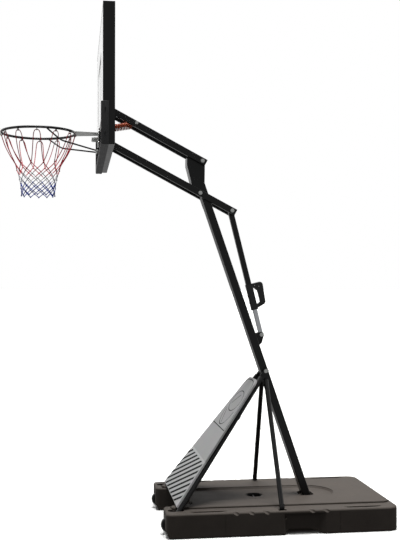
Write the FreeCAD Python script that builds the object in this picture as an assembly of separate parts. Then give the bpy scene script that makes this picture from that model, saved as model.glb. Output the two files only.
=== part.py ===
import FreeCAD, Part
import math
import os
from FreeCAD import Placement, Rotation, Vector

# Portable basketball hoop, in millimetres.
# X runs across the court, +Y points away from it, +Z is up. The origin is on the ground, midway
# between the front of the rim and the rear end of the base tank. X = 0 is the plane of symmetry.

# ---------------------------------------------------------------- driving dimensions
# base tank
base_length = 1458.0
base_width = 930.0
base_height = 158.0
base_wall = 6.0
notch_width = 500.0
notch_length = 168.0
horn_chamfer_run = 20.0
horn_chamfer_rise = 42.0
foot_edge_radius = 10.0
shoulder_width = 128.0
shoulder_drop = 10.0
step_groove_width = 6.0
step_groove_depth = 6.0
recess_width = 360.0
recess_depth = 14.0
recess_slope = 11.0
recess_end_to_rear = 300.0
grip_length = 240.0
grip_depth = 22.0
grip_rise = 34.0
grip_to_rear = 490.0
rear_corner_radius = 70.0
front_corner_radius = 28.0
dent_width = 26.0
dent_depth = 11.0
dent_to_side = 42.0
front_dent = (-75.0, 165.0)
rear_dent = (895.0, 1145.0)
flute_radius = 15.0
flute_places = (205.0, 300.0, 395.0, 680.0, 770.0)
seam_places = (143.0, 859.0)
seam_width = 3.0
seam_depth = 1.5
pole_to_rear = 474.0
fill_to_pole = 357.0
fill_recess_radius = 55.0
fill_recess_depth = 30.0
fill_bore_radius = 30.0
cap_clearance = 1.5
cap_wall = 3.5
pole_pocket_width = 124.0
pole_pocket_length = 96.0
pole_pocket_depth = 20.0

# wheels
wheel_radius = 45.0
wheel_width = 32.0
wheel_x = 338.0
axle_radius = 6.0
axle_z = 58.0
axle_to_front = 23.1
well_clearance = 6.0
well_front_wall = 4.0

# pole
pole_depth = 50.0
pole_width = 90.0
pole_wall = 2.5
pole_tilt = 19.05
foot_z = 110.0
pole_end_z = 36.0
splice_at = 945.0
splice_length = 220.0
splice_clearance = 0.3

# pivots, measured along and across the pole from its foot
lower_pivot_along = 2143.0
lower_pivot_across = -27.0
upper_pivot_rise = 210.0
upper_pivot_set_back = 15.0
adjuster_foot_along = 1131.5
adjuster_foot_across = 62.8
strut_bolt_along = 901.0
strut_bolt_across = 5.0

# linkage
arm_length = 665.0
arm_angle = 28.0
arm_tail = 239.0
arm_end_front = 20.0
arm_end_rear = 24.0
arm_width = 25.0
arm_depth = 41.0
arm_wall = 2.0
arm_gap = 1.0
pivot_bolt_radius = 6.0
spring_bolt_radius = 5.0
spring_bolt_back = 174.7
spring_bolt_offset = 8.0
running_clearance = 0.05

# head bracket
head_plate_thickness = 4.0
head_plate_overlap = 100.0

# board
board_width = 1372.0
board_height = 821.0
board_depth = 70.0
rail_width = 38.0
rail_wall = 2.0
rebate_width = 12.0
panel_thickness = 5.0
panel_clearance = 0.5
pivot_above_board_bottom = 97.0
pivot_behind_face = 63.0
pad_front = 11.0
pad_wrap = 35.0
pad_side = 8.0
pad_lap = 34.0
pad_rise = 243.0
bracket_gap = 1.5
bracket_wall = 3.0
bracket_reach = 96.0
cross_bar_size = 30.0
spring_anchor_drop = 104.0
spring_anchor_set_forward = 8.0

# rim
ring_inner_radius = 225.0
ring_rod = 16.0
rim_reach = 392.0
ring_above_board_bottom = 164.0
rim_plate_thickness = 5.0
rim_plate_half_width = 52.0
rim_flange_thickness = 4.0
rim_mount_half_width = 80.0
rim_mount_thickness = 6.0
rim_hinge_above_bottom = 50.0
rim_hinge_before_face = 17.0
rim_hinge_radius = 5.0
brace_radius = 5.0
net_depth = 398.0
net_top_radius = 212.0
net_bottom_radius = 105.0
net_wall = 5.0
net_loops = 12

# counterbalance spring
spring_outer_radius = 25.0
spring_wire_radius = 3.0
spring_pitch = 11.5
spring_hook_length = 28.0

# height adjuster
outer_size = 35.0
inner_size = 28.0
adjuster_wall = 2.0
outer_length = 665.0
outer_top = 20.0
inner_overlap = 365.0
inner_end = 14.0
sleeve_wall = 4.0
sleeve_length = 172.0
handle_width = 26.0

# struts
front_strut_radius = 16.0
side_strut_radius = 15.0
strut_wall = 2.0
strut_gap = 1.5
front_strut_step = 9.0
front_strut_foot_x = 398.5
side_strut_foot_x = 426.0
side_strut_foot_to_rear = 741.0
side_strut_foot_z = 100.0
strut_tab = 5.0
side_pocket_width = 28.0
strut_hole_set_forward = 22.0

# front panel
shield_thickness = 14.0
shield_gap = 1.0
shield_top = 84.0
shield_half_at_bolt = 108.0
shield_taper = 0.257
shield_corner_radius = 70.0
shield_to_tank = 4.0
clip_length = 24.8
clip_inset_top = 254.0
clip_inset_bottom = 70.0

# ---------------------------------------------------------------- derived places
tilt = math.radians(pole_tilt)
arm_slope = math.radians(arm_angle)
arm_x = pole_width / 2 + head_plate_thickness + arm_gap + arm_width / 2
side_strut_top_x = pole_width / 2 + strut_gap + strut_tab / 2
front_strut_top_x = side_strut_top_x + front_strut_step
ring_radius = ring_inner_radius + ring_rod / 2
ring_outer_radius = ring_inner_radius + ring_rod
pivot_reach = lower_pivot_along * math.sin(tilt) - lower_pivot_across * math.cos(tilt)
front_reach = (pivot_reach + arm_length * math.cos(arm_slope) + pivot_behind_face
               + rim_reach + ring_outer_radius)
base_rear = (front_reach + pole_to_rear) / 2
base_front = base_rear - base_length
foot_y = base_rear - pole_to_rear


def pole_point(along, across):
    """A point in the pole's plane, from distances along and across the pole's axis."""
    y = foot_y - along * math.sin(tilt) + across * math.cos(tilt)
    z = foot_z + along * math.cos(tilt) + across * math.sin(tilt)
    return (y, z)


def shifted(point, dy, dz):
    return (point[0] + dy, point[1] + dz)


lower_pivot = pole_point(lower_pivot_along, lower_pivot_across)
upper_pivot = shifted(lower_pivot, upper_pivot_set_back, upper_pivot_rise)
adjuster_foot = pole_point(adjuster_foot_along, adjuster_foot_across)
strut_pivot = pole_point(strut_bolt_along, strut_bolt_across)
arm_step = (-arm_length * math.cos(arm_slope), arm_length * math.sin(arm_slope))
board_lower_pivot = shifted(lower_pivot, *arm_step)
board_upper_pivot = shifted(upper_pivot, *arm_step)
adjuster_head = shifted(lower_pivot, arm_tail * math.cos(arm_slope), -arm_tail * math.sin(arm_slope))
spring_pin = shifted(board_upper_pivot,
                     spring_bolt_back * math.cos(arm_slope) + spring_bolt_offset * math.sin(arm_slope),
                     -spring_bolt_back * math.sin(arm_slope) + spring_bolt_offset * math.cos(arm_slope))
spring_anchor = shifted(board_upper_pivot, -spring_anchor_set_forward, -spring_anchor_drop)
board_face = board_lower_pivot[0] - pivot_behind_face
board_bottom = board_lower_pivot[1] - pivot_above_board_bottom
board_top = board_bottom + board_height
ring_y = board_face - rim_reach
ring_z = board_bottom + ring_above_board_bottom
rim_hinge = (board_face - rim_hinge_before_face, board_bottom + rim_hinge_above_bottom)
wheel_axle = (base_front + axle_to_front, axle_z)

adjuster_length = math.hypot(adjuster_foot[0] - adjuster_head[0], adjuster_head[1] - adjuster_foot[1])
adjuster_lean = math.degrees(math.atan2(adjuster_foot[0] - adjuster_head[0],
                                        adjuster_head[1] - adjuster_foot[1]))
strut_run = math.hypot(strut_pivot[0] - wheel_axle[0], strut_pivot[1] - wheel_axle[1])
strut_slope = math.degrees(math.atan2(strut_pivot[1] - wheel_axle[1], strut_pivot[0] - wheel_axle[0]))
strut_spread = front_strut_foot_x - front_strut_top_x
shield_drop = strut_pivot[1] - base_height - shield_to_tank
shield_bottom = ((shield_drop + front_strut_radius * math.cos(math.radians(strut_slope)))
                 / math.sin(math.radians(strut_slope)))


# ---------------------------------------------------------------- helpers
def box(x0, x1, y0, y1, z0, z1):
    return Part.makeBox(x1 - x0, y1 - y0, z1 - z0, Vector(x0, y0, z0))


def fused(shapes):
    result = shapes[0]
    for shape in shapes[1:]:
        result = result.fuse(shape)
    return result.removeSplitter()


def placed(shape, angle, point, x=0.0):
    """Turn a shape about the X axis and move it to a point of the YZ plane."""
    turned = shape.copy()
    turned.Placement = Placement(Vector(x, point[0], point[1]), Rotation(Vector(1, 0, 0), angle))
    return turned


def mirrored(shape):
    return shape.mirror(Vector(0, 0, 0), Vector(1, 0, 0))


def both_sides(shape):
    return [shape, mirrored(shape)]


def side_prism(points, x0, x1):
    """A prism along X with an outline of (y, z) points."""
    corners = [Vector(x0, y, z) for y, z in points]
    face = Part.Face(Part.makePolygon(corners + corners[:1]))
    return face.extrude(Vector(x1 - x0, 0, 0))


def plan_prism(points, z0, z1):
    """A prism along Z with an outline of (x, y) points."""
    corners = [Vector(x, y, z0) for x, y in points]
    face = Part.Face(Part.makePolygon(corners + corners[:1]))
    return face.extrude(Vector(0, 0, z1 - z0))


def x_rod(x0, x1, point, radius):
    return Part.makeCylinder(radius, x1 - x0, Vector(x0, point[0], point[1]), Vector(1, 0, 0))


def x_sleeve(x0, x1, point, outer, inner):
    return x_rod(x0, x1, point, outer).cut(x_rod(x0 - 1, x1 + 1, point, inner))


def y_rod(y0, y1, x, z, radius):
    return Part.makeCylinder(radius, y1 - y0, Vector(x, y0, z), Vector(0, 1, 0))


def rod(start, end, radius):
    line = end.sub(start)
    return Part.makeCylinder(radius, line.Length, start, line)


def upright_edges(shape):
    return [e for e in shape.Edges
            if e.BoundBox.XLength < 0.01 and e.BoundBox.YLength < 0.01]


def round_bar(width, depth, z0, z1, radius):
    """A bar along Z, centred on it, with rounded long edges."""
    bar = box(-width / 2, width / 2, -depth / 2, depth / 2, z0, z1)
    return bar.makeFillet(radius, upright_edges(bar))


def square_tube(width, depth, z0, z1, wall, radius):
    outer = round_bar(width, depth, z0, z1, radius)
    inner = round_bar(width - 2 * wall, depth - 2 * wall, z0 - 1, z1 + 1, max(radius - wall, 0.4))
    return outer.cut(inner)


def hexagon(x0, x1, point, across_flats):
    radius = across_flats / math.sqrt(3)
    corners = []
    for step in range(6):
        angle = math.radians(60 * step + 30)
        corners.append(shifted(point, radius * math.cos(angle), radius * math.sin(angle)))
    return side_prism(corners, x0, x1)


def bolt(point, x_head, x_end, radius):
    """A flanged hex bolt along X with its head on the +X side."""
    flange = x_rod(x_head, x_head + 2.5, point, radius * 2.15)
    head = hexagon(x_head + 2.5, x_head + 2.5 + radius * 1.2, point, radius * 3)
    shank = x_rod(x_end, x_head, point, radius)
    return fused([shank, flange, head])


def nut(point, x, radius):
    """A flanged nut against the face at x, on its -X side."""
    flange = x_rod(x - 2.5, x, point, radius * 2.15)
    body = hexagon(x - 2.5 - radius * 1.5, x - 2.5, point, radius * 3)
    hole = x_rod(x - 30, x + 1, point, radius)
    return fused([flange, body]).cut(hole)


nodes = {}


# ---------------------------------------------------------------- base tank
def base_outline(side, front, rear, notch):
    """Outline of the tank in plan, inset by a distance on each kind of edge."""
    half = base_width / 2 - side
    inner = notch_width / 2 + notch
    y0 = base_front + front
    y1 = base_rear - rear
    y_notch = base_front + notch_length + notch
    return [(-half, y0), (-inner, y0), (-inner, y_notch), (inner, y_notch), (inner, y0),
            (half, y0), (half, y1), (-half, y1)]


def rounded_outline(side, front, rear, notch, z0, z1):
    body = plan_prism(base_outline(side, front, rear, notch), z0, z1)
    rear_edges = []
    front_edges = []
    for edge in upright_edges(body):
        if edge.BoundBox.YMin > base_rear - rear - 1:
            rear_edges.append(edge)
        else:
            front_edges.append(edge)
    body = body.makeFillet(rear_corner_radius - rear, rear_edges)
    matches = []
    for edge in upright_edges(body):
        for old in front_edges:
            if edge.CenterOfMass.distanceToPoint(old.CenterOfMass) < 0.1:
                matches.append(edge)
    return body.makeFillet(front_corner_radius, matches)


def top_loop(shape, z):
    return [e for e in shape.Edges
            if abs(e.BoundBox.ZMin - z) < 0.01 and abs(e.BoundBox.ZMax - z) < 0.01]


def slot_prism(x, y, length, width, z0, z1):
    """A slot along Y with round ends."""
    run = (length - width) / 2
    parts = [box(x - width / 2, x + width / 2, y - run, y + run, z0, z1)]
    for end in (y - run, y + run):
        parts.append(Part.makeCylinder(width / 2, z1 - z0, Vector(x, end, z0)))
    return fused(parts)


well_x0 = wheel_x - wheel_width / 2 - well_clearance
well_x1 = front_strut_foot_x + strut_tab / 2 + well_clearance * 2
well_top = base_height - shoulder_drop - 10.0
wheel_slot_rear = wheel_axle[0] + wheel_radius + well_clearance
wheel_slot_top = axle_z + wheel_radius + well_clearance
strut_hole_length = 104.0
strut_hole_width = 54.0
hole_share = (well_top + 10.0 - wheel_axle[1]) / (strut_pivot[1] - wheel_axle[1])
strut_hole_x = front_strut_foot_x - strut_spread * hole_share
strut_hole_y = wheel_axle[0] + (strut_pivot[0] - wheel_axle[0]) * hole_share - strut_hole_set_forward
well_rear = strut_hole_y + strut_hole_length / 2
side_foot_y = base_rear - side_strut_foot_to_rear
fill_y = foot_y - fill_to_pole
lug_wall_x = side_strut_foot_x - strut_tab / 2


def pole_socket(grow, depth):
    bar = round_bar(pole_width + 2 * grow, pole_depth + 2 * grow, depth, 400.0, 4.0)
    return placed(bar, pole_tilt, pole_point(0, 0))


def dent(sign, y0, y1):
    """A tool for a long shallow hollow in a shoulder, deepest at its middle."""
    length = y1 - y0
    radius = (length ** 2 / 4 + dent_depth ** 2) / (2 * dent_depth)
    centre = ((y0 + y1) / 2, base_height - shoulder_drop - dent_depth + radius)
    middle = sign * (base_width / 2 - dent_to_side)
    return x_rod(middle - dent_width / 2, middle + dent_width / 2, centre, radius)


def flute(sign, y):
    """A tool for a slanting scoop across a shoulder's rounded outer edge."""
    edge = Vector(sign * (base_width / 2 + 1), y, base_height - shoulder_drop + 1)
    run = Vector(sign * 42, 46, -40)
    return rod(edge.sub(run), edge.add(run), flute_radius)


def seam(sign, y):
    """A tool for the shallow upright seam in a side wall."""
    x0, x1 = sorted((sign * (base_width / 2 - seam_depth), sign * (base_width / 2 + 1)))
    return box(x0, x1, y - seam_width / 2, y + seam_width / 2, -1, base_height - shoulder_drop - 14)


def pole_pocket(width, length, z_floor, grow):
    """The sunk place round the pole where it enters the tank."""
    z0 = z_floor - pole_pocket_depth - grow
    y = foot_y - (z_floor - foot_z) * math.tan(tilt)
    bar = round_bar(width + 2 * grow, length + 2 * grow, z0, base_height + 1, 30.0 + grow)
    bar.translate(Vector(0, y, 0))
    return bar


def make_base():
    top = base_height
    shoulder = base_height - shoulder_drop
    lower = rounded_outline(0, 0, 0, 0, 0, shoulder)
    lower = lower.makeFillet(12.0, top_loop(lower, shoulder))
    lower = lower.makeFillet(foot_edge_radius, top_loop(lower, 0))
    step = (46.0, 18.0, 14.0)
    outside = [inset - step_groove_width for inset in step]
    groove_floor = shoulder - step_groove_depth
    groove = rounded_outline(shoulder_width - step_groove_width, *outside, groove_floor, top)
    groove = groove.cut(rounded_outline(shoulder_width, *step, 0, top + 1))
    upper = rounded_outline(shoulder_width, *step, shoulder - 30, top)
    upper = upper.makeFillet(7.0, top_loop(upper, top))
    body = fused([lower.cut(groove), upper])

    chamfer = side_prism([(base_front - 1, horn_chamfer_rise), (base_front, horn_chamfer_rise),
                          (base_front + horn_chamfer_run, 0), (base_front + horn_chamfer_run, -1),
                          (base_front - 1, -1)], -base_width, base_width)
    body = body.cut(chamfer)

    recess_end = base_rear - recess_end_to_rear
    recess_start = base_front + notch_length - 30
    recess_mid = (recess_start - recess_width + recess_end) / 2
    recess = slot_prism(0, recess_mid, recess_end - recess_start + recess_width, recess_width,
                        top - recess_depth, top + 1)
    recess = recess.makeChamfer(recess_slope, top_loop(recess, top - recess_depth))
    body = body.cut(recess)

    half = base_width / 2
    grip_y0 = base_rear - grip_to_rear - grip_length
    grip_y1 = base_rear - grip_to_rear
    for sign in (-1, 1):
        inner = sign * (half - grip_depth)
        outer = sign * (half + 5)
        grip = plan_prism([(outer, grip_y0 - 12), (inner, grip_y0 + 12), (inner, grip_y1 - 20),
                           (outer, grip_y1 + 30)], -1, shoulder - 18)
        body = body.cut(grip)
        hollow = side_prism([(grip_y0 + 4, -1), (grip_y0 + 30, grip_rise), (grip_y1 - 80, grip_rise),
                             (grip_y1 + 10, -1)], inner - sign * 60, inner + sign * 60)
        body = body.cut(hollow)

    cavity = plan_prism(base_outline(grip_depth + base_wall, horn_chamfer_run + base_wall,
                                     2 * base_wall, base_wall),
                        base_wall, top - recess_depth - base_wall)
    pocket = (pole_pocket_width, pole_pocket_length, top - recess_depth)
    posts = [pole_socket(3 + base_wall, -(foot_z - base_wall) / math.cos(tilt)),
             pole_pocket(*pocket, base_wall),
             Part.makeCylinder(fill_recess_radius + base_wall, 40,
                               Vector(0, fill_y, top - recess_depth - fill_recess_depth - base_wall))]
    for sign in (-1, 1):
        x0, x1 = sorted((sign * well_x0, sign * well_x1))
        posts.append(box(x0 - 8, x1 + 8, base_front, well_rear + 8, 0, top))
        posts.append(slot_prism(sign * strut_hole_x, strut_hole_y, strut_hole_length + 2 * base_wall,
                                strut_hole_width + 2 * base_wall, 0, top))
        p0, p1 = sorted((sign * (lug_wall_x - 30), sign * half))
        posts.append(box(p0, p1, side_foot_y - 40, side_foot_y + 40, side_strut_foot_z - 20, top))
        g0, g1 = sorted((sign * (half - 90), sign * half))
        posts.append(box(g0, g1, grip_y0 - 10, grip_y1 + 20, 0, grip_rise + base_wall))
        under_dent = shoulder - dent_depth - base_wall
        for y0, y1 in (front_dent, rear_dent):
            posts.append(box(g0, g1, y0 - base_wall, y1 + base_wall, under_dent, top))
    body = body.cut(cavity.cut(fused(posts)))

    body = body.cut(pole_socket(3.0, (pole_end_z - foot_z) / math.cos(tilt) - 1))
    body = body.cut(pole_pocket(*pocket, 0))
    fill_floor = top - recess_depth - fill_recess_depth
    body = body.cut(Part.makeCylinder(fill_recess_radius, 60, Vector(0, fill_y, fill_floor)))
    body = body.cut(Part.makeCylinder(fill_bore_radius, 60, Vector(0, fill_y, fill_floor - 30)))
    for sign in (-1, 1):
        x0, x1 = sorted((sign * well_x0, sign * well_x1))
        body = body.cut(box(x0, x1, base_front + well_front_wall, well_rear,
                            2.0 + base_wall, well_top))
        body = body.cut(box(sign * wheel_x - wheel_width / 2 - well_clearance,
                            sign * wheel_x + wheel_width / 2 + well_clearance,
                            base_front - 1, wheel_slot_rear, -1, wheel_slot_top))
        body = body.cut(slot_prism(sign * strut_hole_x, strut_hole_y, strut_hole_length,
                                   strut_hole_width, well_top - 60, top + 1))
        a0, a1 = sorted((sign * (well_x0 - 6), sign * (well_x1 + 6)))
        body = body.cut(x_rod(a0, a1, wheel_axle, axle_radius + running_clearance))
        l0, l1 = sorted((sign * lug_wall_x, sign * (lug_wall_x + side_pocket_width)))
        body = body.cut(box(l0, l1, side_foot_y - 26, side_foot_y + 26, side_strut_foot_z - 6, top))
        b0, b1 = sorted((sign * (lug_wall_x - 20), sign * (lug_wall_x + 1)))
        body = body.cut(x_rod(b0, b1, (side_foot_y, side_strut_foot_z + 16), 4.0))
        for tool in (dent(sign, *front_dent), dent(sign, *rear_dent)):
            body = body.cut(tool)
        for y in flute_places:
            body = body.cut(flute(sign, y))
        for y in seam_places:
            body = body.cut(seam(sign, y))
    return body


nodes["base_tank"] = make_base()


def make_fill_cap():
    floor = base_height - recess_depth - fill_recess_depth
    radius = fill_recess_radius - cap_clearance
    flange = Part.makeCylinder(radius, fill_recess_depth - 3, Vector(0, fill_y, floor))
    dish = Part.makeCylinder(radius - cap_wall, fill_recess_depth, Vector(0, fill_y, floor + 5))
    flange = flange.cut(dish)
    plug = Part.makeCylinder(fill_bore_radius - 0.4, 22, Vector(0, fill_y, floor - 22))
    bore = Part.makeCylinder(fill_bore_radius - 5, 18, Vector(0, fill_y, floor - 23))
    grip = box(-radius + 2, radius - 2, fill_y - 4, fill_y + 4, floor + 4, floor + 18)
    return fused([flange, plug, grip]).cut(bore)


nodes["fill_cap"] = make_fill_cap()


# ---------------------------------------------------------------- wheels
def make_wheel():
    x0 = wheel_x - wheel_width / 2
    x1 = wheel_x + wheel_width / 2
    disc = x_rod(x0, x1, wheel_axle, wheel_radius)
    rims = [e for e in disc.Edges if e.BoundBox.XLength < 0.01]
    disc = disc.makeFillet(5.0, rims)
    for start, end in ((x0 - 1, x0 + 9), (x1 - 9, x1 + 1)):
        disc = disc.cut(x_sleeve(start, end, wheel_axle, wheel_radius - 14, 15.0))
    return disc.cut(x_rod(x0 - 1, x1 + 1, wheel_axle, axle_radius + running_clearance))


wheel = make_wheel()
nodes["wheel_left"] = mirrored(wheel)
nodes["wheel_right"] = wheel
axle = x_rod(well_x0 - 5.5, well_x1 + 5.5, wheel_axle, axle_radius)
nodes["wheel_axles"] = Part.makeCompound(both_sides(axle))


# ---------------------------------------------------------------- pole
pole_start = (pole_end_z - foot_z) / math.cos(tilt)
pole_end = lower_pivot_along - pivot_bolt_radius - 8.0
strut_hole = x_rod(-200, 200, strut_pivot, pivot_bolt_radius)


def pole_section(start, end):
    tube = square_tube(pole_width, pole_depth, start, end, pole_wall, 6.0)
    return placed(tube, pole_tilt, pole_point(0, 0)).cut(strut_hole)


nodes["pole_lower"] = pole_section(pole_start, splice_at)
nodes["pole_upper"] = pole_section(splice_at, pole_end)
splice_gap = 2 * (pole_wall + splice_clearance)
splice = square_tube(pole_width - splice_gap, pole_depth - splice_gap,
                     splice_at - splice_length / 2, splice_at + splice_length / 2, pole_wall, 3.5)
nodes["pole_splice"] = placed(splice, pole_tilt, pole_point(0, 0)).cut(strut_hole)


# ---------------------------------------------------------------- head bracket
head_half = pole_width / 2
head_front = [shifted(upper_pivot, -100, 20), shifted(upper_pivot, -100, -27),
              shifted(lower_pivot, -52, 53), pole_point(lower_pivot_along - 25, -pole_depth / 2)]
head_outline = head_front + [pole_point(lower_pivot_along - head_plate_overlap, -pole_depth / 2),
                             pole_point(lower_pivot_along - head_plate_overlap + 14, pole_depth / 2),
                             pole_point(lower_pivot_along + 54, pole_depth / 2),
                             shifted(upper_pivot, 18, -35), shifted(upper_pivot, 18, 20)]
head_bores = [x_rod(-200, 200, upper_pivot, pivot_bolt_radius),
              x_rod(-200, 200, lower_pivot, pivot_bolt_radius)]


def bored(shape, bores):
    for bore in bores:
        shape = shape.cut(bore)
    return shape


head_plate = bored(side_prism(head_outline, head_half, head_half + head_plate_thickness), head_bores)
nodes["head_plate_right"] = head_plate
nodes["head_plate_left"] = mirrored(head_plate)
web_front = head_front[:3]
web_inner = [shifted(point, head_plate_thickness, 0) for point in reversed(web_front)]
nodes["head_web"] = side_prism(web_front + web_inner, -head_half, head_half)
nodes["head_spacers"] = Part.makeCompound(
    [x_sleeve(-head_half, head_half, point, 10.0, pivot_bolt_radius)
     for point in (upper_pivot, lower_pivot)])

arm_face = arm_x + arm_width / 2
nodes["head_bolts"] = Part.makeCompound(
    [bolt(point, arm_face + 0.5, -arm_face - 14, pivot_bolt_radius)
     for point in (upper_pivot, lower_pivot)])


# ---------------------------------------------------------------- linkage arms
def arm_tube(point, tail, bores):
    tube = square_tube(arm_width, arm_depth, -tail, arm_length + arm_end_front, arm_wall, 4.0)
    tube = placed(tube, 90 - arm_angle, point, arm_x)
    return bored(tube, bores)


def arm_caps(point, tail):
    """Plastic plugs in the two ends of an arm tube."""
    caps = []
    for end, sign in ((-tail, -1), (arm_length + arm_end_front, 1)):
        z0, z1 = sorted((end, end + sign * 3))
        plate = round_bar(arm_width, arm_depth, z0, z1, 4.0)
        p0, p1 = sorted((end, end - sign * 5))
        plug = round_bar(arm_width - 2 * arm_wall - 0.6, arm_depth - 2 * arm_wall - 0.6, p0, p1, 1.5)
        caps.append(placed(fused([plate, plug]), 90 - arm_angle, point, arm_x))
    return caps


def pivot_bore(point):
    return x_rod(-200, 200, point, pivot_bolt_radius + running_clearance)


upper_bores = [pivot_bore(upper_pivot), pivot_bore(board_upper_pivot),
               x_rod(-200, 200, spring_pin, spring_bolt_radius)]
lower_bores = [pivot_bore(lower_pivot), pivot_bore(board_lower_pivot),
               x_rod(-200, 200, adjuster_head, pivot_bolt_radius)]
upper_arm = arm_tube(upper_pivot, arm_end_rear, upper_bores)
lower_arm = arm_tube(lower_pivot, arm_tail + arm_end_rear, lower_bores)
nodes["upper_arm_right"] = upper_arm
nodes["upper_arm_left"] = mirrored(upper_arm)
nodes["lower_arm_right"] = lower_arm
nodes["lower_arm_left"] = mirrored(lower_arm)


def cap_group(point, tail):
    caps = []
    for cap in arm_caps(point, tail):
        caps += both_sides(cap)
    return Part.makeCompound(caps)


nodes["upper_arm_caps"] = cap_group(upper_pivot, arm_end_rear)
nodes["lower_arm_caps"] = cap_group(lower_pivot, arm_tail + arm_end_rear)
nodes["spring_bolt"] = Part.makeCompound([bolt(spring_pin, arm_face, -arm_face - 12, spring_bolt_radius),
                                          nut(spring_pin, -arm_face, spring_bolt_radius)])
nodes["adjuster_top_bolt"] = Part.makeCompound(
    [bolt(adjuster_head, arm_face, -arm_face - 14, pivot_bolt_radius),
     nut(adjuster_head, -arm_face, pivot_bolt_radius)])
arm_inner_face = arm_x - arm_width / 2
spacer = x_sleeve(outer_size / 2 + 0.5, arm_inner_face, adjuster_head, 10.0, pivot_bolt_radius)
nodes["adjuster_spacers"] = Part.makeCompound(both_sides(spacer))


# ---------------------------------------------------------------- board
half_board = board_width / 2
face_back = board_face + board_depth


def rail(length, flip):
    """A frame rail along Z from 0, hollow, with a rebate for the clear panel on its inner front edge."""
    body = box(0, rail_width, 0, board_depth, 0, length)
    floor = panel_thickness + rail_wall
    body = body.cut(box(rail_wall, rail_width - rail_wall, floor, board_depth - rail_wall, -1, length + 1))
    body = body.cut(box(rail_width - rebate_width, rail_width + 1, -1, panel_thickness, -1, length + 1))
    return body.mirror(Vector(0, 0, 0), Vector(1, 0, 0)) if flip else body


def make_board_frame():
    left = rail(board_height, False)
    left.translate(Vector(-half_board, board_face, board_bottom))
    right = rail(board_height, True)
    right.translate(Vector(half_board, board_face, board_bottom))
    gap = 0.2
    span = board_width - 2 * rail_width - 2 * gap
    rails = [left, right]
    for angle, x, z in ((90, -half_board + rail_width + gap, board_top),
                        (-90, half_board - rail_width - gap, board_bottom)):
        bar = rail(span, False)
        bar.Placement = Placement(Vector(x, board_face, z), Rotation(Vector(0, 1, 0), angle))
        rails.append(bar)
    holes = fused(pad_screw_bores(2.5) + [mirrored(b) for b in pad_screw_bores(2.5)])
    return Part.makeCompound([item.cut(holes) for item in rails])


pad_screw_heights = (60.0, 200.0)


def pad_screw_bores(radius):
    return [x_rod(half_board - rail_wall, half_board + pad_side + 1,
                  (board_face + 14, board_bottom + height), radius) for height in pad_screw_heights]


panel_half = half_board - rail_width + rebate_width - panel_clearance
panel_inset = rail_width - rebate_width + panel_clearance
mount_bolt_places = [(x, board_bottom + z) for x in (-arm_x, arm_x) for z in (100.0, 172.0)]


def mount_bolt_bores(radius):
    return fused([y_rod(board_face - 30, board_face + 30, x, z, radius) for x, z in mount_bolt_places])


nodes["board_frame"] = make_board_frame()
nodes["clear_panel"] = box(-panel_half, panel_half, board_face, board_face + panel_thickness - 0.2,
                           board_bottom + panel_inset, board_top - panel_inset).cut(mount_bolt_bores(4.3))


def make_pad():
    outer = half_board + pad_side
    inner = half_board - pad_lap
    bottom = board_bottom - pad_side
    top = board_bottom + pad_rise
    front = box(-outer, outer, board_face - pad_front, board_face, bottom, top)
    front = front.cut(box(-inner, inner, board_face - pad_front - 1, board_face + 1,
                          board_bottom + pad_lap, top + 1))
    wrap = box(-outer, outer, board_face, board_face + pad_wrap, bottom, top)
    wrap = wrap.cut(box(-half_board, half_board, board_face - 1, board_face + pad_wrap + 1,
                        board_bottom, top + 1))
    pad = fused([front, wrap])
    lower_corners = [e for e in pad.Edges if abs(e.BoundBox.ZMax - bottom) < 0.01
                     and e.BoundBox.XLength < 0.01 and abs(abs(e.CenterOfMass.x) - outer) < 0.01]
    pad = pad.makeFillet(7.0, lower_corners)
    nose = [e for e in pad.Edges if e.BoundBox.YLength < 0.01
            and abs(e.BoundBox.YMin - board_face + pad_front) < 0.01]
    pad = pad.makeFillet(4.5, nose)
    for screw in pad_screw_bores(2.5):
        pad = pad.cut(screw).cut(mirrored(screw))
    return pad


nodes["board_pad"] = make_pad()


def pad_screw(height):
    point = (board_face + 14, board_bottom + height)
    shank = x_rod(half_board - rail_wall, half_board + pad_side, point, 2.5)
    head = x_rod(half_board + pad_side, half_board + pad_side + 2.5, point, 5.0)
    return fused([shank, head])


screws = []
for height in pad_screw_heights:
    screws += both_sides(pad_screw(height))
nodes["pad_screws"] = Part.makeCompound(screws)

bracket_half = arm_width / 2 + bracket_gap
bracket_front = board_face + panel_thickness + 2.0
bracket_bottom = board_bottom + rail_width
bar_z = board_upper_pivot[1] + 95.0


def make_arm_bracket():
    """A channel behind the panel that takes the front ends of an upper and a lower arm."""
    x0 = arm_x - bracket_half - bracket_wall
    x1 = arm_x + bracket_half + bracket_wall
    profile = [(bracket_front, bracket_bottom), (board_face + 58, bracket_bottom),
               shifted(board_lower_pivot, bracket_reach - pivot_behind_face, -30),
               shifted(board_lower_pivot, bracket_reach - pivot_behind_face, 30),
               (board_face + 66, board_lower_pivot[1] + 70),
               (board_face + 66, board_upper_pivot[1] - 70),
               shifted(board_lower_pivot, bracket_reach - pivot_behind_face, 180),
               shifted(board_lower_pivot, bracket_reach - pivot_behind_face, 245),
               (board_face + 60, bar_z), (bracket_front, bar_z)]
    body = side_prism(profile, x0, x1)
    body = body.cut(box(arm_x - bracket_half, arm_x + bracket_half, bracket_front + bracket_wall,
                        board_face + 200, bracket_bottom - 1, bar_z + 1))
    bores = [x_rod(0, 200, point, pivot_bolt_radius) for point in (board_lower_pivot, board_upper_pivot)]
    bores.append(x_rod(0, arm_x - bracket_half, spring_anchor, spring_bolt_radius))
    return bored(body, bores).cut(mount_bolt_bores(4.0))


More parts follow.
